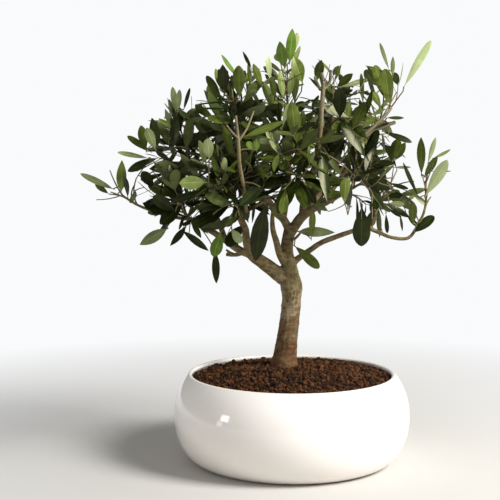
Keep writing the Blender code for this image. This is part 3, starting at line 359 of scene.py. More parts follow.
# Stems and twigs, as in the part but slimmer, with fine twigs that branch off each twig.
STEM_FIT = 0.92
STEM_TAPER = 0.5
STEM_STEPS = 10
STEM_BARE_SHARE = 0.2
STEM_LEAST_RADIUS = 0.8 * MM
TWIG_RADIUS = 0.7 * MM
TWIG_TIP_RADIUS = 0.4 * MM
TWIG_SHORT_OF_EDGE = 20 * MM
TWIG_SHORT_RANGE = (0.8, 1.2)
TWIG_LEAST = 6 * MM
TWIG_LIFT = 0.2
TWIG_STEPS = 6
TWIG_BARE_SHARE = 0.22
FINE_RADIUS = 0.42 * MM
FINE_TIP_RADIUS = 0.28 * MM
FINE_SPACING = 9 * MM
FINE_LENGTH = (9 * MM, 18 * MM)
FINE_STEPS = 4
# A leafy mass has more fine twigs, from the first share of the usual count to the second.
FINE_SHARES = (0.5, 1.35)
# Nothing may hide the bare old stems above this height.
STEMS_SHOW_FROM = 20.2 * CM
BACKWARD = 0.8
DRAW_IN = 0.15
AIM_MARGIN = 4 * MM
CURVE_PULL = 0.45
LAST_SHARE = 0.98
TRIES = 8
# A fine twig keeps this much of its twig's way and lifts by this much, and the room past its
# tip is a share of its length.
FINE_ALONG = 0.7
FINE_LIFT_RANGE = (-0.2, 0.5)
FINE_ROOM_AHEAD = 0.6
MARK_ARCH = 5 * MM
MARK_ROLL = 0.3
GOLDEN_ANGLE = math.pi * (3 - math.sqrt(5))

# Leaves stand in crossed pairs. Leaves may reach this far past the planes between masses,
# so that the crown closes up as a real one does.
MINGLE = 7 * MM
PAIR_SPACING = 9 * MM
LEAF_LENGTH = 25 * MM
LEAF_LENGTH_RANGE = (0.62, 1.28)
LEAF_SHORTER_AT_TIP = 0.3
LEAF_WIDTH_SHARE = 0.29
LEAF_WIDTH_RANGE = (0.65, 1.4)
LEAF_THICKNESS = 0.35 * MM
STALK_SHARE = 0.07
# A leaf's width grows as a power of the way from its stalk, and falls as one of the way to its
# tip: a small first power gives a round base, and a small second one a blunt tip.
LEAF_WEDGE_RANGE = (0.75, 1.15)
LEAF_BLUNT_RANGE = (0.5, 1.0)
LEAF_LEAN_RANGE = (35, 82)
LEAF_STEEPER_AT_TIP = 26
LEAF_SAG_RANGE = (-0.15, 0.4)
LEAF_STIFFER_AT_TIP = 0.6
LEAF_TURN = 0.2
LEAF_TURN_PER_TRY = 0.15
LEAF_ROLL = 0.55
# A leaf's upper side faces along its twig and up, and its blade bends, twists and folds.
LEAF_FACES_AHEAD = 0.8
LEAF_FACES_UP = 0.6
LEAF_BEND_RANGE = (-0.45, 0.3)
LEAF_LEAST_BEND = 0.02
LEAF_TWIST_RANGE = (-0.35, 0.35)
LEAF_FOLD_RANGE = (-0.05, 0.32)
# In shares of a leaf's half-width: the least of it by the stalk and by the tip, and how far
# the blade's edges curve down.
STALK_WIDTH = 0.1
TIP_WIDTH = 0.02
BLADE_CROWN = 0.16
# A leaf is checked at these shares of its length and half-widths. Its blade counts as a rod:
# beside limbs of this share of its half-width, and beside twigs of a third of it.
CHECKED_SHARES = (0.2, 0.45, 0.7, 1.0)
CHECKED_SIDES = (-1, 0, 1)
MIDRIB_SHARES = (0.25, 0.55, 1)
ROD_BY_LIMBS = 0.7
PARTS_BY_TWIGS = 3
# A leaf or stem that is to be seen keeps an oval round it clear. Its own outline is at 1, and
# the oval's edge, squared, is at this.
CLEAR_ROUND = 1.2
# The way that a marked leaf's upper side faces, before it is rolled at random.
MARK_FACES = Vector((0, -1, 0.25))

# Tints from old wood to new. The oldest, deep, is darker than old leaves are, as dark as leaves in
# shade look: partly painted shade. A spray's youth picks one by these limits, and the pair of
# leaves at its tip is often a step younger.
TINT_ORDER = ("deep", "green", "olive", "bright", "young")
TINT_LIMITS = (0.42, 0.85, 1.13, 1.24)
TIP_YOUNGER_CHANCE = 0.3
YOUTH_PER_HEIGHT = 0.15
CROWN_MIDDLE = 20 * CM
CROWN_HALF_HEIGHT = 9 * CM

Limb = namedtuple("Limb", "points radii")
Leaf = namedtuple("Leaf", "root along face length width bend twist fold wedge blunt tint")


# ---------------------------------------------------------------- the rule of growth

def smooth_line(stations, per_span):
    """A Catmull-Rom line through stations of x, y, z and radius, in metres."""
    knots = [Vector(s) * CM for s in stations]
    padded = [knots[0] * 2 - knots[1], *knots, knots[-1] * 2 - knots[-2]]
    line = []
    for a, b, c, d in zip(padded, padded[1:], padded[2:], padded[3:]):
        for step in range(per_span):
            t = step / per_span
            line.append(0.5 * (2 * b + (c - a) * t + (2 * a - 5 * b + 4 * c - d) * t ** 2
                               + (3 * b - a - 3 * c + d) * t ** 3))
    line.append(knots[-1])
    return Limb([p.xyz for p in line], [p.w for p in line])


def arch(start, leaving, end, steps):
    """Points of a quadratic curve from start, setting off along leaving, to end."""
    pull = start + leaving.normalized() * (end - start).length * CURVE_PULL
    points = []
    for i in range(steps + 1):
        t = i / steps
        points.append(start * (1 - t) ** 2 + pull * 2 * t * (1 - t) + end * t ** 2)
    return points


def line_length(points):
    return sum((b - a).length for a, b in zip(points, points[1:]))


def place_along(points, share):
    """The point at a share of a line's length, and the line's direction there."""
    lengths = [(b - a).length for a, b in zip(points, points[1:])]
    rest = share * sum(lengths)
    i = 0
    while i < len(lengths) - 1 and rest > lengths[i]:
        rest -= lengths[i]
        i += 1
    return points[i].lerp(points[i + 1], rest / lengths[i]), (points[i + 1] - points[i]).normalized()


def taper(first, last, count):
    """Evenly spaced radii from first to last."""
    return [first + (last - first) * i / (count - 1) for i in range(count)]


# Two segments are taken as parallel where this product is no greater.
PARALLEL = 1e-16


def segment_distance(p1, q1, p2, q2):
    """The least distance between two straight segments."""
    d1, d2, r = q1 - p1, q2 - p2, p1 - p2
    a, e, f = d1.dot(d1), d2.dot(d2), d2.dot(r)
    c, b = d1.dot(r), d1.dot(d2)
    span = a * e - b * b
    s = min(1.0, max(0.0, (b * f - c * e) / span)) if span > PARALLEL else 0.0
    t = (b * s + f) / e
    if t < 0.0:
        t, s = 0.0, min(1.0, max(0.0, -c / a))
    elif t > 1.0:
        t, s = 1.0, min(1.0, max(0.0, (b - c) / a))
    return (p1 + d1 * s - p2 - d2 * t).length


class View:
    """Leaves and stems that nothing may hide from the front: ovals of x, z and depth in y."""

    def __init__(self):
        ovals = [(Vector(mark.root) * CM, Vector(mark.tip) * CM, mark.width * MM / 2)
                 for mass in MASSES for mark in mass.marks]
        for stems in SHOWN_STEMS.values():
            for line in (smooth_line(stations, VIEW_STEPS) for stations in stems):
                parts = zip(line.points, line.points[1:], line.radii)
                ovals += [part for part in parts if part[0].z > STEMS_SHOW_FROM]
        ends = np.array([[*a, *b] for a, b, _ in ovals]).reshape(-1, 2, 3)
        flat = flattened(ends)
        self.middles = flat.mean(axis=1)
        span = flat[:, 1] - flat[:, 0]
        self.half_lengths = np.linalg.norm(span, axis=1) / 2
        self.ways = span / (2 * self.half_lengths[:, None])
        self.half_widths = np.array([half for _, _, half in ovals])
        self.depths = ends[:, :, 1].mean(axis=1)

    def hidden_by(self, sheet):
        """Whether a leaf with these points would stand before one of the ovals."""
        points = sheet.reshape(-1, 3)
        off = flattened(points)[:, None] - self.middles
        along = (off * self.ways).sum(axis=2) / self.half_lengths
        aside = (off[..., 0] * self.ways[:, 1] - off[..., 1] * self.ways[:, 0]) / self.half_widths
        before = points[:, None, 1] < self.depths
        return bool(np.any((along ** 2 + aside ** 2 < CLEAR_ROUND) & before))


def flattened(points):
    """Points carried along the lines of sight to the plane through the trunk, as x and z."""
    nearer = CAMERA_PLACE[1] / (CAMERA_PLACE[1] - points[..., 1])
    z = CAMERA_PLACE[2] + (points[..., 2] - CAMERA_PLACE[2]) * nearer
    return np.stack((points[..., 0] * nearer, z), axis=-1)


def in_opening(sheet):
    """Whether any of these points lies in line with an opening through the crown."""
    off = flattened(sheet.reshape(-1, 3))[:, None] - np.array(OPENINGS)[:, :2] * CM
    return bool(np.any(((off / (np.array(OPENINGS)[:, 2:] * CM)) ** 2).sum(axis=2) < 1))


class Space:
    """What one mass may fill: its ellipsoid, on its own side of the planes between the masses."""

    def __init__(self, mass, masses):
        self.centre = Vector(mass.centre) * CM
        self.radii = Vector(mass.radii) * CM
        self.planes = []
        for other in masses:
            if other.name == mass.name:
                continue
            away = Vector(other.centre) * CM - self.centre
            theirs = (Vector(other.radii) * CM).length_squared
            share = 0.5 + (self.radii.length_squared - theirs) / (PLANE_DIVISOR * away.length_squared)
            self.planes.append((away.normalized(), share * away.length))

    def holds(self, point, margin):
        """Whether a point is on this mass's side of every plane."""
        from_centre = point - self.centre
        return all(from_centre.dot(normal) + margin < reach for normal, reach in self.planes)

    def fills(self, point):
        """Whether a leaf may reach a point."""
        from_centre = point - self.centre
        inside = sum((d / r) ** 2 for d, r in zip(from_centre, self.radii)) < 1
        return inside and self.holds(point, -MINGLE)

    def near(self, limbs):
        """The segments of limbs that come close to this space, each with the radius that it
        starts with."""
        reach = max(self.radii) + NEAR_REACH
        for limb in limbs:
            for p, q, r in zip(limb.points, limb.points[1:], limb.radii):
                if ((p + q) / 2 - self.centre).length < reach:
                    yield p, q, r


def leaf_sheet(leaf, shares, sides, depth=0.0):
    """Rows of points over a leaf, one row for each share of its length, from edge to edge.

    sides are in half-widths. depth sinks the sheet between its edges, in metres. The leaf is
    narrow at its stalk, widest near its middle, bent along its length and folded at its rib.
    """
    u = np.array(shares)[:, None]
    v = np.array(sides)[None, :]
    along = np.array(leaf.along)
    across = np.array(leaf.along.cross(leaf.face).normalized())
    up = np.cross(across, along)
    blade = np.clip((u - STALK_SHARE) / (1 - STALK_SHARE), 0, 1)
    widest = leaf.wedge / (leaf.wedge + leaf.blunt)
    swell = (blade / widest) ** leaf.wedge * ((1 - blade) / (1 - widest)) ** leaf.blunt
    half = leaf.width / 2 * np.maximum(swell, np.where(u < 0.5, STALK_WIDTH, TIP_WIDTH))
    turn = leaf.bend * u
    ahead = leaf.length * np.sin(turn) / leaf.bend
    rise = leaf.length * (1 - np.cos(turn)) / leaf.bend
    lift = half * (leaf.fold * np.abs(v) - BLADE_CROWN * v ** 2) - depth * (1 - np.abs(v))
    roll = leaf.twist * u
    aside = v * half * np.cos(roll) - lift * np.sin(roll)
    lift = v * half * np.sin(roll) + lift * np.cos(roll)
    ahead = ahead - lift * np.sin(turn)
    rise = rise + lift * np.cos(turn)
    return (np.array(leaf.root) + ahead[..., None] * along + aside[..., None] * across
            + rise[..., None] * up)


BLADE_SHARES = (0.2, 0.45, 0.7, 0.9, 1.0)
BLADE_SIDES = (-1, 0, 1)


def leaf_blade(leaf):
    """The leaf past its stalk, as a tree of faces that can be tested against another's."""
    points = leaf_sheet(leaf, BLADE_SHARES, BLADE_SIDES).reshape(-1, 3)
    return BVHTree.FromPolygons(points.tolist(), grid_faces(len(BLADE_SHARES), len(BLADE_SIDES)))


def leaf_middle(leaf):
    """A leaf's middle, and half its length."""
    return leaf.root + leaf.along * leaf.length / 2, leaf.length / 2


class Crown:
    """Every leaf so far, so that no two blades cross, whatever masses they are on."""

    def __init__(self):
        self.blades = []
        self.view = View()

    def crossed_by(self, leaf, blade):
        """Whether a leaf's blade would cut through one that is there already."""
        middle, half = leaf_middle(leaf)
        return any((middle - other_middle).length < other_half + half and blade.overlap(other)
                   for other_middle, other_half, other in self.blades)

    def add(self, leaf, blade):
        self.blades.append((*leaf_middle(leaf), blade))


class Growth:
    """One mass as it grows: its stem, its twigs and its leaves."""

    def __init__(self, mass, limbs, masses, crown):
        self.mass = mass
        self.crown = crown
        self.space = Space(mass, masses)
        self.near_limbs = list(self.space.near(limbs.values()))
        self.random = random.Random(mass.seed)
        self.stem = self.grow_stem(limbs[mass.bough])
        self.twigs, self.fine_twigs, self.leaves = [], [], []

    def grow_stem(self, bough):
        """The stem sets off from its bough's end and bends over to the heart."""
        forward = (bough.points[-1] - bough.points[-2]).normalized()
        points = arch(bough.points[-1], forward, Vector(self.mass.heart) * CM, STEM_STEPS)
        radius = bough.radii[-1] * STEM_FIT
        return Limb(points, taper(radius, max(radius * STEM_TAPER, STEM_LEAST_RADIUS), len(points)))

    def grow(self):
        """Twigs from the stem's foot up, the marked leaves, the fine twigs, and then the other
        leaves from the heart down."""
        aims = [Vector(tip) * CM for tip in self.mass.shoots] + list(self.spread_aims())
        foot, heart = self.stem.points[0], self.stem.points[-1]
        aims.sort(key=lambda aim: (aim - foot).dot(heart - foot))
        for i, aim in enumerate(aims):
            step = (LAST_SHARE - STEM_BARE_SHARE) / len(aims)
            self.add_twig(aim, STEM_BARE_SHARE + step * (i + 1))
        leafy = list(self.twigs)
        self.add_shown_stems()
        for mark in self.mass.marks:
            self.add_marked_leaf(mark)
        for twig in leafy:
            self.add_fine_twigs(twig)
        for twig in reversed(leafy):
            self.add_leaves(twig, self.pick_tint(twig))
        for twig in self.fine_twigs:
            self.add_leaves(twig, self.pick_tint(twig))

    def spread_aims(self):
        """Points spread evenly round the ellipsoid, inside its surface, but not back along
        the stem."""
        back = (self.stem.points[0] - self.space.centre).normalized()
        turn = self.random.uniform(0, 2 * math.pi)
        for i in range(self.mass.twigs):
            z = 1 - (2 * i + 1) / self.mass.twigs
            ring = math.sqrt(1 - z * z)
            angle = turn + i * GOLDEN_ANGLE
            direction = Vector((ring * math.cos(angle), ring * math.sin(angle), z))
            if direction.dot(back) > BACKWARD:
                continue
            short = TWIG_SHORT_OF_EDGE * self.random.uniform(*TWIG_SHORT_RANGE)
            reach = self.space.radii - Vector((short, short, short))
            aim = self.space.centre + direction * reach
            for _ in range(TRIES):
                if self.space.holds(aim, AIM_MARGIN):
                    break
                aim = aim.lerp(self.space.centre, DRAW_IN)
            yield aim

    def add_twig(self, aim, share):
        """A twig from a share of the stem's length to its aim, if nothing is in its way."""
        start, along = place_along(self.stem.points, share)
        if (aim - start).length > TWIG_LEAST:
            leaving = along + (aim - start).normalized() + UP * TWIG_LIFT
            path = arch(start, leaving, aim, TWIG_STEPS)
            if all(self.is_free(a, b, TWIG_RADIUS) for a, b in zip(path, path[1:])):
                self.twigs.append(Limb(path, taper(TWIG_RADIUS, TWIG_TIP_RADIUS, len(path))))

    def add_fine_twigs(self, twig):
        """Short fine twigs that leave a twig to one side and the other in turn."""
        bare, full = FINE_SHARES
        share = bare + (full - bare) * self.mass.leafy
        count = round(line_length(twig.points) / FINE_SPACING * share)
        turn = self.random.uniform(0, 2 * math.pi)
        for i in range(count):
            start, along = place_along(twig.points, (i + 1) / (count + 1))
            turn += GOLDEN_ANGLE
            outward = across(along, turn)
            leaving = along * FINE_ALONG + outward + UP * self.random.uniform(*FINE_LIFT_RANGE)
            end = start + leaving.normalized() * self.random.uniform(*FINE_LENGTH)
            path = arch(start, along + outward, end, FINE_STEPS)
            free = all(self.is_free(a, b, FINE_RADIUS) for a, b in zip(path[1:], path[2:]))
            beyond = end + (end - start) * FINE_ROOM_AHEAD
            if free and self.space.fills(beyond) and not in_opening(np.array([end, beyond])):
                self.fine_twigs.append(Limb(path, taper(FINE_RADIUS, FINE_TIP_RADIUS, len(path))))

    def is_free(self, a, b, radius):
        """Whether a rod from a to b stays clear of the limbs."""
        return all(segment_distance(a, b, p, q) > r + radius for p, q, r in self.near_limbs)

    def fits(self, leaf, blade):
        """Whether a leaf stays in the mass's space, clear of limbs, of twigs and of other leaves."""
        sheet = leaf_sheet(leaf, CHECKED_SHARES, CHECKED_SIDES)
        if in_opening(sheet) or self.crown.view.hidden_by(sheet):
            return False
        if not all(self.space.fills(Vector(p)) for row in sheet for p in row):
            return False
        midrib = [Vector(leaf_sheet(leaf, (share,), (0,))[0][0]) for share in MIDRIB_SHARES]
        half = leaf.width / 2
        if not all(self.is_free(a, b, half * ROD_BY_LIMBS) for a, b in zip(midrib, midrib[1:])):
            return False
        for twig in self.twigs + self.fine_twigs:
            for a, b, radius in zip(twig.points, twig.points[1:], twig.radii):
                if segment_distance(midrib[0], midrib[-1], a, b) < radius + half / PARTS_BY_TWIGS:
                    return False
        return not self.crown.crossed_by(leaf, blade)

    def keep(self, leaf, blade):
        self.leaves.append(leaf)
        self.crown.add(leaf, blade)

    def shaped_leaf(self, root, along, face, length, width, tint):
        """A leaf with its own bend, twist, fold and outline."""
        bend = self.random.uniform(*LEAF_BEND_RANGE)
        if abs(bend) <= LEAF_LEAST_BEND:
            bend = LEAF_LEAST_BEND
        ranges = (LEAF_TWIST_RANGE, LEAF_FOLD_RANGE, LEAF_WEDGE_RANGE, LEAF_BLUNT_RANGE)
        shape = [self.random.uniform(*limits) for limits in ranges]
        return Leaf(root, along, face, length, width, bend, *shape, tint)

    def nearest_wood(self, point):
        """The point of the stem and twigs that lies nearest."""
        wood = [place for limb in (self.stem, *self.twigs) for place in limb.points[1:]]
        return min(wood, key=lambda place: (place - point).length)

    def add_shown_stems(self):
        """The mass's bare old stems, the first of them led out of its wood."""
        stems = [smooth_line(stations, WOOD_STEPS) for stations in SHOWN_STEMS.get(self.mass.name, ())]
        for i, stem in enumerate(stems):
            if i == 0:
                first = stem.points[0]
                foot = self.nearest_wood(first)
                lead = arch(foot, first - foot + UP * MARK_ARCH, first, TWIG_STEPS)[:-1]
                stem = Limb(lead + stem.points, [stem.radii[0]] * len(lead) + stem.radii)
            self.twigs.append(stem)

    def add_marked_leaf(self, mark):
        """A leaf at a place of its own, on a bare twig of its own."""
        root, tip = Vector(mark.root) * CM, Vector(mark.tip) * CM
        along = (tip - root).normalized()
        start = self.nearest_wood(root)
        path = arch(start, root - start + UP * MARK_ARCH, root + along * MM, TWIG_STEPS)
        self.twigs.append(Limb(path, taper(TWIG_TIP_RADIUS, FINE_RADIUS, len(path))))
        rolled = MARK_FACES + across(along, 0) * self.random.gauss(0, MARK_ROLL)
        face = Vector(mark.face) if mark.face else rolled
        leaf = self.shaped_leaf(root, along, face, (tip - root).length, mark.width * MM, mark.tint)
        self.keep(leaf, leaf_blade(leaf))

    def pick_tint(self, twig):
        """A tint for a whole spray: younger and lighter the further up and out it ends."""
        end = twig.points[-1]
        height = (end.z - CROWN_MIDDLE) / CROWN_HALF_HEIGHT
        youth = self.random.uniform(0, 1) + self.mass.youth + YOUTH_PER_HEIGHT * height
        return TINT_ORDER[sum(youth > limit for limit in TINT_LIMITS)]

    def add_leaves(self, twig, tint):
        """Pairs of leaves along a twig, each pair a quarter turn on from the last."""
        length = line_length(twig.points)
        pairs = max(2, round(length * (1 - TWIG_BARE_SHARE) / PAIR_SPACING) + 1)
        first_turn = self.random.uniform(0, math.pi)
        for pair in range(pairs):
            share = pair / (pairs - 1)
            at = TWIG_BARE_SHARE + (LAST_SHARE - TWIG_BARE_SHARE) * share
            root, along = place_along(twig.points, at)
            younger = pair == pairs - 1 and self.random.random() < TIP_YOUNGER_CHANCE
            step_on = TINT_ORDER[min(TINT_ORDER.index(tint) + 1, len(TINT_ORDER) - 1)]
            for half_turn in (0, math.pi):
                if self.random.random() < self.mass.leafy:
                    turn = first_turn + pair * math.pi / 2 + half_turn
                    self.add_leaf(root, along, turn, share, step_on if younger else tint)

    def add_leaf(self, root, twig_along, turn, share, tint):
        """A leaf turned round its twig by turn. share is 0 at the twig's foot and 1 at its tip."""
        for attempt in range(TRIES):
            loose = LEAF_TURN + LEAF_TURN_PER_TRY * attempt
            outward = across(twig_along, turn + self.random.uniform(-loose, loose))
            lean = math.radians(self.random.uniform(*LEAF_LEAN_RANGE) - LEAF_STEEPER_AT_TIP * share)
            along = twig_along * math.cos(lean) + outward * math.sin(lean)
            along -= UP * self.random.uniform(*LEAF_SAG_RANGE) * (1 - LEAF_STIFFER_AT_TIP * share)
            along.normalize()
            length = LEAF_LENGTH * self.random.uniform(*LEAF_LENGTH_RANGE)
            length *= 1 - LEAF_SHORTER_AT_TIP * share
            width = length * LEAF_WIDTH_SHARE * self.random.uniform(*LEAF_WIDTH_RANGE)
            face = twig_along * LEAF_FACES_AHEAD + UP * LEAF_FACES_UP
            face += across(along, 0) * self.random.gauss(0, LEAF_ROLL)
            leaf = self.shaped_leaf(root, along, face, length, width, tint)
            blade = leaf_blade(leaf)
            if self.fits(leaf, blade):
                self.keep(leaf, blade)
                return


def across(along, turn):
    """A direction square to along, turned round it."""
    side = along.cross(UP).normalized()
    return side * math.cos(turn) + side.cross(along) * math.sin(turn)


def grow_crown(limbs):
    """Every mass in turn, its leaves clear of the limbs and of all leaves before them."""
    crown = Crown()
    growths = [Growth(mass, limbs, MASSES, crown) for mass in MASSES]
    for growth in growths:
        growth.grow()
    return growths


# ---------------------------------------------------------------- meshes

TWIG_SIDES = 6
WOOD_SIDES = 14
# Edges that turn by more than this many degrees stay sharp.
TUBE_SHARP = 60
BOWL_SHARP = 50
GRAIN_SHARP = 22


def piece(name, mesh, materials, replaced=()):
    """A finished piece of the part: it rides on the root and stands for the nodes it replaces."""
    made = add_object(name, mesh)
    for material in materials:
        mesh.materials.append(material)
    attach(made, "root")
    if replaced:
        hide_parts(*replaced)


def mesh_from(name, points, faces, slots=None, sharp=None):
    """A smooth-shaded mesh of points and faces, with each face's material slot."""
    mesh = bpy.data.meshes.new(name)
    mesh.from_pydata(points, [], faces)
    if slots is not None:
        mesh.polygons.foreach_set("material_index", slots)
    mesh.shade_smooth()
    if sharp is not None:
        mesh.set_sharp_from_angle(angle=math.radians(sharp))
    return mesh


def grid_faces(rows, columns, offset=0, flip=False):
    """Quads over a grid of points that is numbered row by row."""
    faces = []
    for r in range(rows - 1):
        for c in range(columns - 1):
            a = offset + r * columns + c
            quad = (a, a + 1, a + columns + 1, a + columns)
            faces.append(quad[::-1] if flip else quad)
    return faces


def circle(radius, z, steps):
    """Points evenly round a level circle about the bowl's axis."""
    turns = [2 * math.pi * k / steps for k in range(steps)]
    return [(radius * math.cos(t), radius * math.sin(t), z) for t in turns]


def tube(points, radii, sides):
    """Points and faces of a closed tapering tube with a flat cap at each end."""
    verts, faces = [], []
    normal = None
    for i, (point, radius) in enumerate(zip(points, radii)):
        ahead = (points[min(i + 1, len(points) - 1)] - points[max(i - 1, 0)]).normalized()
        if normal is None:
            normal = ahead.orthogonal().normalized()
        normal = (normal - ahead * normal.dot(ahead)).normalized()
        other = ahead.cross(normal)
        for k in range(sides):
            turn = 2 * math.pi * k / sides
            verts.append(point + (normal * math.cos(turn) + other * math.sin(turn)) * radius)
    for ring in range(len(points) - 1):
        for k in range(sides):
            a, b = ring * sides + k, ring * sides + (k + 1) % sides
            faces.append((a, b, b + sides, a + sides))
    faces.append(tuple(range(sides))[::-1])
    faces.append(tuple(range(len(verts) - sides, len(verts))))
    return verts, faces


def tubes_mesh(name, limbs, sides):
    """One mesh of many tubes."""
    verts, faces = [], []
    for limb in limbs:
        more, round_faces = tube(limb.points, limb.radii, sides)
        faces += [tuple(i + len(verts) for i in face) for face in round_faces]
        verts += more
    return mesh_from(name, verts, faces, sharp=TUBE_SHARP)


LEAF_SHARES = (0.0, 0.05, 0.1, 0.18, 0.3, 0.44, 0.58, 0.71, 0.82, 0.91, 0.97, 1.0)
LEAF_UPPER_SIDES = (-1, -0.55, -0.045, 0.045, 0.55, 1)
LEAF_UNDER_SIDES = (-1, -0.5, 0, 0.5, 1)
# Each sheet of a leaf: its sides, how far it sinks, and whether its faces are turned over.
LEAF_SHEETS = ((LEAF_UPPER_SIDES, 0.0, True), (LEAF_UNDER_SIDES, LEAF_THICKNESS, False))
UPPER, RIB, UNDER = range(3)


def leaves_mesh(name, leaves):
    """One mesh of many leaves, each an upper sheet with a rib strip and an under sheet."""
    points, faces, slots = [], [], []
    rows = len(LEAF_SHARES)
    for leaf in leaves:
        for sides, depth, flip in LEAF_SHEETS:
            sheet = leaf_sheet(leaf, LEAF_SHARES, sides, depth).reshape(-1, 3)
            quads = grid_faces(rows, len(sides), len(points), flip)
            across_count = len(sides) - 1
            for i in range(len(quads)):
                column = i % across_count
                if depth:
                    slots.append(UNDER)
                else:
                    slots.append(RIB if column == across_count // 2 else UPPER)
            faces += quads
            points += sheet.tolist()
    return mesh_from(name, points, faces, slots)


# ---------------------------------------------------------------- materials

def srgb(hex_colour):
    """A linear colour from an sRGB hex value."""
    channels = [int(hex_colour[i:i + 2], 16) / 255 for i in (1, 3, 5)]
    linear = [c / 12.92 if c <= 0.04045 else ((c + 0.055) / 1.055) ** 2.4 for c in channels]
    return (*linear, 1.0)


def add_node(tree, kind, inputs=(), **settings):
    """Adds a node with its settings. An input given as a socket is linked, and any other is set."""
    made = tree.nodes.new("ShaderNode" + kind)
    for key, value in settings.items():
        setattr(made, key, value)
    for key, value in dict(inputs).items():
        if isinstance(value, bpy.types.NodeSocket):
            tree.links.new(value, made.inputs[key])
        else:
            made.inputs[key].default_value = value
    return made


def new_material(name):
    """An empty material, with its object coordinates in millimetres."""
    material = bpy.data.materials.new(name)
    material.use_nodes = True
    tree = material.node_tree
    tree.nodes.clear()
    place = add_node(tree, "TexCoord")
    in_mm = add_node(tree, "VectorMath", {0: place.outputs["Object"], "Scale": 1000}, operation="SCALE")
    return material, tree, in_mm.outputs[0]


def finish_surface(tree, inputs):
    """The material's surface and its output."""
    surface = add_node(tree, "BsdfPrincipled", inputs)
    add_node(tree, "OutputMaterial", {"Surface": surface.outputs[0]})


def noise_of(tree, place, size_mm, detail=3, stretch=(1, 1, 1)):
    """Noise whose grain is size_mm across, drawn out along each axis by stretch."""
    scaled = add_node(tree, "Mapping", {"Vector": place, "Scale": tuple(1 / s for s in stretch)})
    made = add_node(tree, "TexNoise", {"Vector": scaled.outputs[0], "Scale": 1 / size_mm,
                                       "Detail": detail})
    return made.outputs[0]


def mixed(tree, share, first, second):
    """One colour or the other, by share."""
    made = add_node(tree, "MixRGB", {"Fac": share, "Color1": first, "Color2": second})
    return made.outputs[0]


def between(tree, value, low, high, to_low=0.0, to_high=1.0):
    """value carried from low..high to to_low..to_high, and held there."""
    made = add_node(tree, "MapRange", {"Value": value, "From Min": low, "From Max": high,
                                       "To Min": to_low, "To Max": to_high})
    return made.outputs[0]


def bumped(tree, height, depth_mm, strength):
    """A normal that stands in and out by depth_mm, as height says."""
    made = add_node(tree, "Bump", {"Height": height, "Distance": depth_mm * MM, "Strength": strength})
    return made.outputs[0]


# Heights in millimetres between which the glaze goes over into the lip's warmer white.
LIP_WARMS = (58.2, 59.6)


def glazed_stoneware():
    """White gloss glaze: a clear skin over white clay, faintly uneven, and warmer at the lip,
    where it runs thin."""
    material, tree, place = new_material("glazed_stoneware")
    apart = add_node(tree, "SeparateXYZ", {0: place})
    body = mixed(tree, noise_of(tree, place, 40), srgb("#fbf6f0"), srgb("#f6efe7"))
    colour = mixed(tree, between(tree, apart.outputs[2], *LIP_WARMS), body, srgb("#f3eadd"))
    roughness = between(tree, noise_of(tree, place, 12), 0.3, 0.7, 0.07, 0.13)
    ripple = bumped(tree, noise_of(tree, place, 9, detail=1), 0.12, 0.25)
    finish_surface(tree, {"Base Color": colour, "Roughness": roughness, "Normal": ripple, "IOR": 1.52,
                          "Coat Weight": 0.4, "Coat Roughness": 0.05})
    return material


def lava_grain(name, dark, light):
    """Crushed lava and baked clay: matt, porous, with pits of about half a millimetre."""
    material, tree, place = new_material(name)
    pores = noise_of(tree, place, 0.5, detail=4)
    blotch = noise_of(tree, place, 3.5)
    colour = mixed(tree, between(tree, blotch, 0.35, 0.65), srgb(dark), srgb(light))
    # The pits, where the bump sinks, are darkened towards near-black: painted shade in the pores.
    colour = mixed(tree, between(tree, pores, 0.5, 0.35), colour, srgb("#1d110b"))
    pitted = bumped(tree, pores, 0.35, 0.8)
    finish_surface(tree, {"Base Color": colour, "Roughness": 0.92, "Normal": pitted,
                          "Specular IOR Level": 0.15})
    return material


# Heights in millimetres: where the bark goes from reddish to grey, where a pale ring starts, is
# palest and ends, and how far all this strays up and down round the trunk.
BARK_TURNS_GREY = (74, 112)
PALE_RING = (97, 104, 110)
HEIGHT_STRAY = 22


def olive_bark():
    """Olive bark: smooth grey-tan skin, cracked across in short brown lines, redder near the
    soil, a little green on the young upper wood, and worn pale at one ring."""
    material, tree, place = new_material("olive_bark")
    apart = add_node(tree, "SeparateXYZ", {0: place})
    height = apart.outputs[2]
    plates = noise_of(tree, place, 2.6, detail=5, stretch=(1.5, 1.5, 0.9))
    blotch = noise_of(tree, place, 9, stretch=(1, 1, 1.6))
    low = mixed(tree, between(tree, plates, 0.36, 0.64), srgb("#4d331b"), srgb("#704e30"))
    high = mixed(tree, between(tree, plates, 0.36, 0.64), srgb("#5b4d2e"), srgb("#837350"))
    stray = between(tree, blotch, 0.3, 0.7, -HEIGHT_STRAY, HEIGHT_STRAY)
    wander = add_node(tree, "Math", {0: height, 1: stray}, operation="ADD").outputs[0]
    colour = mixed(tree, between(tree, wander, *BARK_TURNS_GREY), low, high)
    lichen = between(tree, noise_of(tree, place, 6, detail=4), 0.56, 0.68, 0, 0.4)
    colour = mixed(tree, lichen, colour, srgb("#7d7954"))
    starts, palest, ends = PALE_RING
    fades_in = between(tree, wander, starts, palest)
    fades_out = between(tree, wander, palest, ends, 1, 0)
    worn = add_node(tree, "Math", {0: fades_in, 1: fades_out}, operation="MULTIPLY").outputs[0]
    colour = mixed(tree, between(tree, worn, 0, 1, 0, 0.55), colour, srgb("#a5967a"))
    lines = noise_of(tree, place, 1.1, stretch=(2.6, 2.6, 0.8))
    colour = mixed(tree, between(tree, lines, 0.3, 0.42, 0.6, 0), colour, srgb("#38290f"))
    rough = bumped(tree, plates, 0.4, 0.7)
    finish_surface(tree, {"Base Color": colour, "Roughness": 0.85, "Normal": rough,
                          "Specular IOR Level": 0.3})
    return material


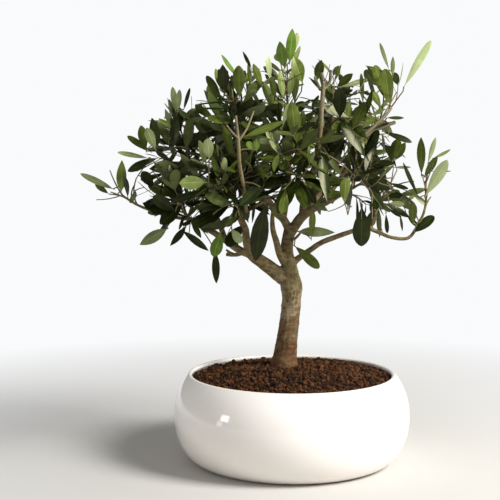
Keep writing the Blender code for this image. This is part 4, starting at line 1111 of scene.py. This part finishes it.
def young_bark():
    """Young olive shoots: smooth, grey-green to tan, with fine pale specks."""
    material, tree, place = new_material("young_olive_bark")
    blotch = between(tree, noise_of(tree, place, 14), 0.38, 0.62)
    colour = mixed(tree, blotch, srgb("#5a5434"), srgb("#796846"))
    specks = between(tree, noise_of(tree, place, 0.8), 0.58, 0.7, 0, 0.6)
    colour = mixed(tree, specks, colour, srgb("#94866a"))
    finish_surface(tree, {"Base Color": colour, "Roughness": 0.6, "Specular IOR Level": 0.4})
    return material


def leaf_surface(name, dark, light, roughness):
    """One face of a leaf: waxy cuticle above, with a warm gloss, felted and matt below, and
    mottled over centimetres."""
    material, tree, place = new_material(name)
    mottle = between(tree, noise_of(tree, place, 7), 0.36, 0.64)
    colour = mixed(tree, mottle, srgb(dark), srgb(light))
    grain = bumped(tree, noise_of(tree, place, 0.9), 0.1, 0.35)
    finish_surface(tree, {"Base Color": colour, "Roughness": roughness, "Normal": grain, "IOR": 1.42,
                          "Specular IOR Level": 0.38, "Specular Tint": srgb("#f4f0c4")})
    return material


# Each tint: the upper face's two greens, the rib, and the underside's two grey-greens.
TINTS = {
    # deep: dark old leaves, darkened further to the near-black of leaves in shade: partly their own
    # colour and partly painted shade.
    "deep": (("#101905", "#222b0c"), ("#2c3712", "#353f18"), ("#353b1c", "#424626")),
    "green": (("#2b360c", "#424d18"), ("#4c5823", "#56612a"), ("#565c32", "#646b3f")),
    "olive": (("#4e5c1f", "#66722f"), ("#7b8746", "#879252"), ("#757c52", "#848b61")),
    "bright": (("#4c681e", "#667f31"), ("#7f9748", "#8aa153"), ("#7a8d47", "#889a55")),
    "young": (("#76854a", "#8f9c58"), ("#a8b46b", "#b2bd77"), ("#919c61", "#a1ab71")),
    # pale: young pale leaves, lightened further to stand for light shining through them from behind:
    # partly their own colour and partly painted light.
    "pale": (("#9ba672", "#b0bb86"), ("#b3c19a", "#bfcca8"), ("#aab88b", "#b8c59b")),
    "silver": (("#6c7449", "#828a5c"), ("#949b70", "#a0a77c"), ("#7e8660", "#8f976e")),
}


def leaf_materials(tint):
    upper, rib, under = TINTS[tint]
    return [leaf_surface(f"olive_leaf_{tint}_upper", *upper, 0.3),
            leaf_surface(f"olive_leaf_{tint}_rib", *rib, 0.45),
            leaf_surface(f"olive_leaf_{tint}_under", *under, 0.75)]


# ---------------------------------------------------------------- bowl

# The bowl's outline, as in the part, turned finely enough to look thrown, with a lip that its
# wall runs into smoothly.
bowl_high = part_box("bowl")[1]
BOWL_RADIUS = bowl_high.x
BOWL_HEIGHT = bowl_high.z
BOWL_BELLY_HEIGHT = 31 * MM
BOWL_FOOT_RADIUS = 61 * MM
BOWL_RIM_RADIUS = 70.2 * MM
BOWL_SHOULDER_HEIGHT = 38 * MM
BOWL_WALL = 4.2 * MM
BOWL_FLOOR = 7 * MM
# The wall leans in by this many degrees where it runs into the lip.
BOWL_LIP_LEAN = 35
BOWL_LIP_STEPS = 12
BOWL_ARC_STEPS = 18
BOWL_STEPS = 144


def bowl_side(height, inset=0.0):
    """The bowl's outer radius at a height, less inset: two arcs that meet at the belly."""
    if height < BOWL_BELLY_HEIGHT:
        rise = 1 - height / BOWL_BELLY_HEIGHT
        return BOWL_FOOT_RADIUS + (BOWL_RADIUS - BOWL_FOOT_RADIUS) * math.sqrt(1 - rise ** 2) - inset
    rim_share = math.sqrt(1 - ((BOWL_HEIGHT - BOWL_BELLY_HEIGHT) / BOWL_SHOULDER_HEIGHT) ** 2)
    swell = (BOWL_RADIUS - BOWL_RIM_RADIUS) / (1 - rim_share)
    rise = (height - BOWL_BELLY_HEIGHT) / BOWL_SHOULDER_HEIGHT
    return BOWL_RADIUS - swell * (1 - math.sqrt(1 - rise ** 2)) - inset


def eased(low, high, steps):
    """Heights from low to high, closer together near low, as an arc's points are."""
    return [low + (high - low) * (1 - math.cos(math.pi / 2 * i / steps)) for i in range(steps + 1)]


def bowl_wall(low, high, inset):
    """Points up the bowl's side from low to high, inset from its outer face."""
    heights = [low + (high - low) * i / BOWL_ARC_STEPS for i in range(BOWL_ARC_STEPS + 1)]
    return [(bowl_side(z, inset), z) for z in heights]


def bowl_profile():
    """From the middle of the floor, up the inside, over the rolled lip and down to the underside."""
    lean = math.radians(BOWL_LIP_LEAN)
    lip = BOWL_WALL / 2 * math.cos(lean)
    lip_height = BOWL_HEIGHT - lip
    outer_join, inner_join = lip_height + lip * math.sin(lean), lip_height - lip * math.sin(lean)
    lip_middle = bowl_side(outer_join) - lip * math.cos(lean)
    inner = [(BOWL_FOOT_RADIUS, BOWL_FLOOR), *bowl_wall(BOWL_FLOOR + BOWL_WALL, inner_join, BOWL_WALL)]
    turns = [lean + math.pi * (1 - i / BOWL_LIP_STEPS) for i in range(1, BOWL_LIP_STEPS)]
    rolled = [(lip_middle + lip * math.cos(t), lip_height + lip * math.sin(t)) for t in turns]
    foot = [(bowl_side(z), z) for z in eased(0, BOWL_BELLY_HEIGHT, BOWL_ARC_STEPS)]
    outer = foot + bowl_wall(BOWL_BELLY_HEIGHT, outer_join, 0)[1:]
    return [(0, BOWL_FLOOR), *inner, *rolled, *outer[::-1], (0, 0)]


def turned_mesh(name, profile, steps):
    """A profile of radii and heights turned about the bowl's axis."""
    bm = bmesh.new()
    rings = []
    for radius, z in profile:
        if radius == 0:
            rings.append([bm.verts.new((0, 0, z))] * steps)
            continue
        rings.append([bm.verts.new(point) for point in circle(radius, z, steps)])
    for inner, outer in zip(rings, rings[1:]):
        for k in range(steps):
            after = (k + 1) % steps
            corners = list(dict.fromkeys((inner[k], outer[k], outer[after], inner[after])))
            bm.faces.new(corners)
    bmesh.ops.recalc_face_normals(bm, faces=bm.faces)
    mesh = bpy.data.meshes.new(name)
    bm.to_mesh(mesh)
    bm.free()
    mesh.shade_smooth()
    mesh.set_sharp_from_angle(angle=math.radians(BOWL_SHARP))
    return mesh


piece("glazed_bowl", turned_mesh("glazed_bowl", bowl_profile(), BOWL_STEPS),
      [glazed_stoneware()], ["bowl"])

# ---------------------------------------------------------------- gravel

# Grains lie on the part's filling in a sunflower spread, with a looser layer of more on top.
GRAIN_SEED = 7
GRAIN_SPREAD = 67.8 * MM
# Each layer's count, its height over the filling, and its grains' radii in millimetres.
GRAIN_LAYERS = ((1500, -0.5 * MM, (1.2, 2.2)), (1000, 0.3 * MM, (0.9, 2.0)))
GRAIN_STRAY = 1 * MM
GRAIN_HEIGHT_STRAY = 0.5 * MM
GRAIN_STRETCH = ((0.8, 1.35), (0.7, 1.1), (0.55, 0.9))
GRAINS_CLEAR_OF_TRUNK = 9 * MM
# Waves over a grain knock its evenness into lumps and flats.
GRAIN_WAVES = 3
WAVE_DEPTH = 0.14
WAVE_TURNS = 2.6
WAVE_STARTS = 6
GRAIN_KINDS = (("lava_grain_brown", "#3f2611", "#5c3d21"), ("lava_grain_red", "#4c2b16", "#6b4527"),
               ("lava_grain_dark", "#251507", "#3a2210"))


def grain_form():
    """Points and faces of one even grain of twenty facets, before it is knocked about."""
    bm = bmesh.new()
    bmesh.ops.create_icosphere(bm, subdivisions=1, radius=1)
    points = np.array([v.co[:] for v in bm.verts])
    faces = [tuple(v.index for v in f.verts) for f in bm.faces]
    bm.free()
    return points, faces


def grain_place(chance, i, count, size):
    """Where the i-th grain of a layer of count lies, held inside the bowl."""
    spread = (GRAIN_SPREAD - size) * math.sqrt((i + 0.5) / count)
    turn = i * GOLDEN_ANGLE + count
    x = spread * math.cos(turn) + chance.uniform(-1, 1) * GRAIN_STRAY
    y = spread * math.sin(turn) + chance.uniform(-1, 1) * GRAIN_STRAY
    radius = math.hypot(x, y)
    if radius > GRAIN_SPREAD - size:
        return x * (GRAIN_SPREAD - size) / radius, y * (GRAIN_SPREAD - size) / radius
    return x, y


def grain_points(chance, form, size):
    """The points of one grain about its middle: stretched, knocked about and spun."""
    angle = chance.uniform(0, math.pi)
    axis = Vector([chance.uniform(-1, 1) for _ in range(3)]).normalized()
    spin = Matrix.Rotation(angle, 3, axis)
    stretch = np.array([chance.uniform(*spread) for spread in GRAIN_STRETCH])
    waves = [np.array([chance.uniform(-WAVE_TURNS, WAVE_TURNS) for _ in range(3)])
             for _ in range(GRAIN_WAVES)]
    rough = 1 + sum(WAVE_DEPTH * np.sin(form @ wave + chance.uniform(0, WAVE_STARTS))
                    for wave in waves)
    return (form * rough[:, None] * stretch * size) @ np.array(spin)


def make_gravel(limbs):
    """Loose grains over the part's filling, one piece for each kind of stone."""
    chance = random.Random(GRAIN_SEED)
    form, form_faces = grain_form()
    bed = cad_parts["gravel"].data
    bed_tree = BVHTree.FromPolygons([v.co for v in bed.vertices], [p.vertices[:] for p in bed.polygons])
    foot = limbs["trunk"].points[0]
    kinds = [([], []) for _ in GRAIN_KINDS]
    for count, lift, sizes in GRAIN_LAYERS:
        for i in range(count):
            size = chance.uniform(*sizes) * MM
            x, y = grain_place(chance, i, count, size)
            if math.hypot(x - foot.x, y - foot.y) < GRAINS_CLEAR_OF_TRUNK:
                continue
            bed_point = bed_tree.ray_cast(Vector((x, y, BOWL_HEIGHT * 2)), -UP)[0]
            z = bed_point.z + lift + chance.uniform(-1, 1) * GRAIN_HEIGHT_STRAY
            grain = grain_points(chance, form, size) + (x, y, z)
            points, faces = kinds[int(chance.random() * len(kinds))]
            faces += [tuple(k + len(points) for k in face) for face in form_faces]
            points += grain.tolist()
    for (name, dark, light), (points, faces) in zip(GRAIN_KINDS, kinds):
        mesh = mesh_from(name + "s", points, faces, sharp=GRAIN_SHARP)
        piece(name + "s", mesh, [lava_grain(name, dark, light)])
    # The filling under the grains is darker than any grain: painted shade in the gaps between them.
    bed.materials.clear()
    bed.materials.append(lava_grain("lava_bed", "#1d120c", "#2e1d13"))


# ---------------------------------------------------------------- bark

VOXEL = 0.5 * MM
RELAX_TURNS = 4
# How big the plates and knots of the bark are, and how far each stands out. The plates' detail
# is how rough they are, how much finer each layer is than the last, and how many there are.
PLATE_SIZE = 3.2 * MM
PLATE_STRETCH = 2.6
PLATE_DETAIL = (0.9, 2.0, 3)
PLATE_DEPTH = 0.2 * MM
KNOT_SIZE = 7 * MM
KNOT_DEPTH = 0.3 * MM
# Old leaf bases leave faint raised rings round the trunk at these heights, uneven in patches.
RING_SCARS = (76 * MM, 83 * MM, 91.5 * MM, 98 * MM, 104 * MM, 111 * MM, 120 * MM, 128 * MM)
SCAR_WIDTH = 0.7 * MM
SCAR_DEPTH = 0.28 * MM
SCAR_PATCH = 4 * MM
SCAR_EVEN = 0.6
SCAR_UNEVEN = 0.4
# The relief has the first share up to the first height, in metres, and the second from the
# second height up.
RELIEF_HEIGHTS = (0.12, 0.16)
RELIEF_SHARES = (1.0, 0.2)


def bark_relief(point):
    """How far the bark stands out at a point: long plates, knots and ring scars."""
    drawn_out = Vector((point.x, point.y, point.z / PLATE_STRETCH))
    plates = noise.fractal(drawn_out / PLATE_SIZE, *PLATE_DETAIL)
    knots = noise.noise(point / KNOT_SIZE)
    uneven = SCAR_EVEN + SCAR_UNEVEN * noise.noise(point / SCAR_PATCH)
    scars = sum(math.exp(-((point.z - height) / SCAR_WIDTH) ** 2) for height in RING_SCARS) * uneven
    return PLATE_DEPTH * plates + KNOT_DEPTH * knots + SCAR_DEPTH * scars


def skin_over(mesh):
    """One closed and slightly relaxed skin over many tubes that run into each other."""
    made = add_object(mesh.name, mesh)
    skin = made.modifiers.new("Skin", "REMESH")
    skin.mode = "VOXEL"
    skin.voxel_size = VOXEL
    relax = made.modifiers.new("Relax", "SMOOTH")
    relax.iterations = RELAX_TURNS
    bpy.context.view_layer.update()
    evaluated = made.evaluated_get(bpy.context.evaluated_depsgraph_get())
    whole = bpy.data.meshes.new_from_object(evaluated)
    bpy.data.objects.remove(made)
    return whole


def make_bark(limbs, growths):
    """Trunk, boughs and stems as one skin, with the bark's relief in its mesh."""
    names = ["trunk", *BOUGHS]
    pegs = [smooth_line(stations, WOOD_STEPS) for stations in PRUNED_PEGS]
    wood = [limbs[name] for name in names] + pegs + [growth.stem for growth in growths]
    whole = skin_over(tubes_mesh("bark", wood, WOOD_SIDES))
    count = len(whole.vertices)
    places, normals = np.empty(count * 3), np.empty(count * 3)
    whole.vertices.foreach_get("co", places)
    whole.vertex_normals.foreach_get("vector", normals)
    places = places.reshape(-1, 3)
    relief = np.array([bark_relief(Vector(place)) for place in places])
    relief *= np.interp(places[:, 2], RELIEF_HEIGHTS, RELIEF_SHARES)
    places += normals.reshape(-1, 3) * relief[:, None]
    whole.vertices.foreach_set("co", places.ravel())
    whole.update()
    whole.name = "bark"
    whole.shade_smooth()
    piece("bark", whole, [olive_bark()], names)


# ---------------------------------------------------------------- the tree

def make_tree():
    """The whole tree in its gravel: bark, gravel, twigs, and leaves by tint."""
    limbs = {"trunk": smooth_line(TRUNK, TRUNK_STEPS)}
    for name, stations in BOUGHS.items():
        limbs[name] = smooth_line(stations, WOOD_STEPS)
    growths = grow_crown(limbs)
    make_bark(limbs, growths)
    make_gravel(limbs)
    twigs = [twig for growth in growths for twig in growth.twigs + growth.fine_twigs]
    masses = [mass.name for mass in MASSES]
    piece("twigs", tubes_mesh("twigs", twigs, TWIG_SIDES), [young_bark()], masses)
    for tint in TINTS:
        leaves = [leaf for growth in growths for leaf in growth.leaves if leaf.tint == tint]
        name = "leaves_" + tint
        piece(name, leaves_mesh(name, leaves), leaf_materials(tint), masses)


make_tree()

# ---------------------------------------------------------------- floor and light

FLOOR_RADIUS = 4.0
FLOOR_SIDES = 96
# The table fades from paper to backdrop between these distances in millimetres.
FLOOR_FADES = (130, 520)
BACKDROP_COLOUR = "#fbfcfd"
BACKDROP_BRIGHTNESS = 0.985
# The backdrop lights the tree less than it looks as if it would.
BACKDROP_LIGHT = 0.36
# Each light's name, place, aim, size in metres and power in watts: a key at the upper right,
# and two panes of a window at the left for the glaze to mirror.
LIGHTS = (
    ("key", (0.85, -0.4, 0.8), (0, 0, 0.14), 0.45, 22.5),
    ("upper pane", (-1.2, -0.57, 0.28), (0, 0, 0.05), 0.2, 1.0),
    ("lower pane", (-1.25, -0.47, 0.08), (0, 0, 0.05), 0.13, 0.16),
)


def make_floor():
    """A round table of pale paper that goes over into the white backdrop without an edge."""
    material, tree, place = new_material("pale_paper")
    off = add_node(tree, "VectorMath", {0: place}, operation="LENGTH")
    far = between(tree, off.outputs["Value"], *FLOOR_FADES)
    paper = mixed(tree, noise_of(tree, place, 60), srgb("#cfccc6"), srgb("#cac7c1"))
    glow = between(tree, far, 0, 1, 0, BACKDROP_BRIGHTNESS)
    finish_surface(tree, {"Base Color": mixed(tree, far, paper, srgb("#000000")), "Roughness": 0.7,
                          "Emission Color": srgb(BACKDROP_COLOUR), "Emission Strength": glow,
                          "Specular IOR Level": 0.0})
    points = circle(FLOOR_RADIUS, 0, FLOOR_SIDES)
    mesh = mesh_from("floor", points, [tuple(range(FLOOR_SIDES))])
    mesh.materials.append(material)
    floor = add_object("floor", mesh)


def softbox(name, place, aim, size, power):
    """A square soft white light at place that faces aim."""
    light = bpy.data.lights.new(name, "AREA")
    light.size = size
    light.energy = power
    lamp = add_object(name, light)
    lamp.location = place
    lamp.rotation_euler = (Vector(aim) - Vector(place)).to_track_quat("-Z", "Y").to_euler()
    lamp.visible_camera = False


def light_studio():
    """A white backdrop all round, the key and the two window panes."""
    world = bpy.data.worlds.new("studio")
    bpy.context.scene.world = world
    world.use_nodes = True
    tree = world.node_tree
    tree.nodes.clear()
    seen = add_node(tree, "LightPath")
    strength = between(tree, seen.outputs["Is Camera Ray"], 0, 1, BACKDROP_LIGHT, BACKDROP_BRIGHTNESS)
    backdrop = add_node(tree, "Background", {"Color": srgb(BACKDROP_COLOUR), "Strength": strength})
    add_node(tree, "OutputWorld", {"Surface": backdrop.outputs[0]})
    for light in LIGHTS:
        softbox(*light)
    bpy.context.scene.view_settings.view_transform = "Standard"


make_floor()
light_studio()
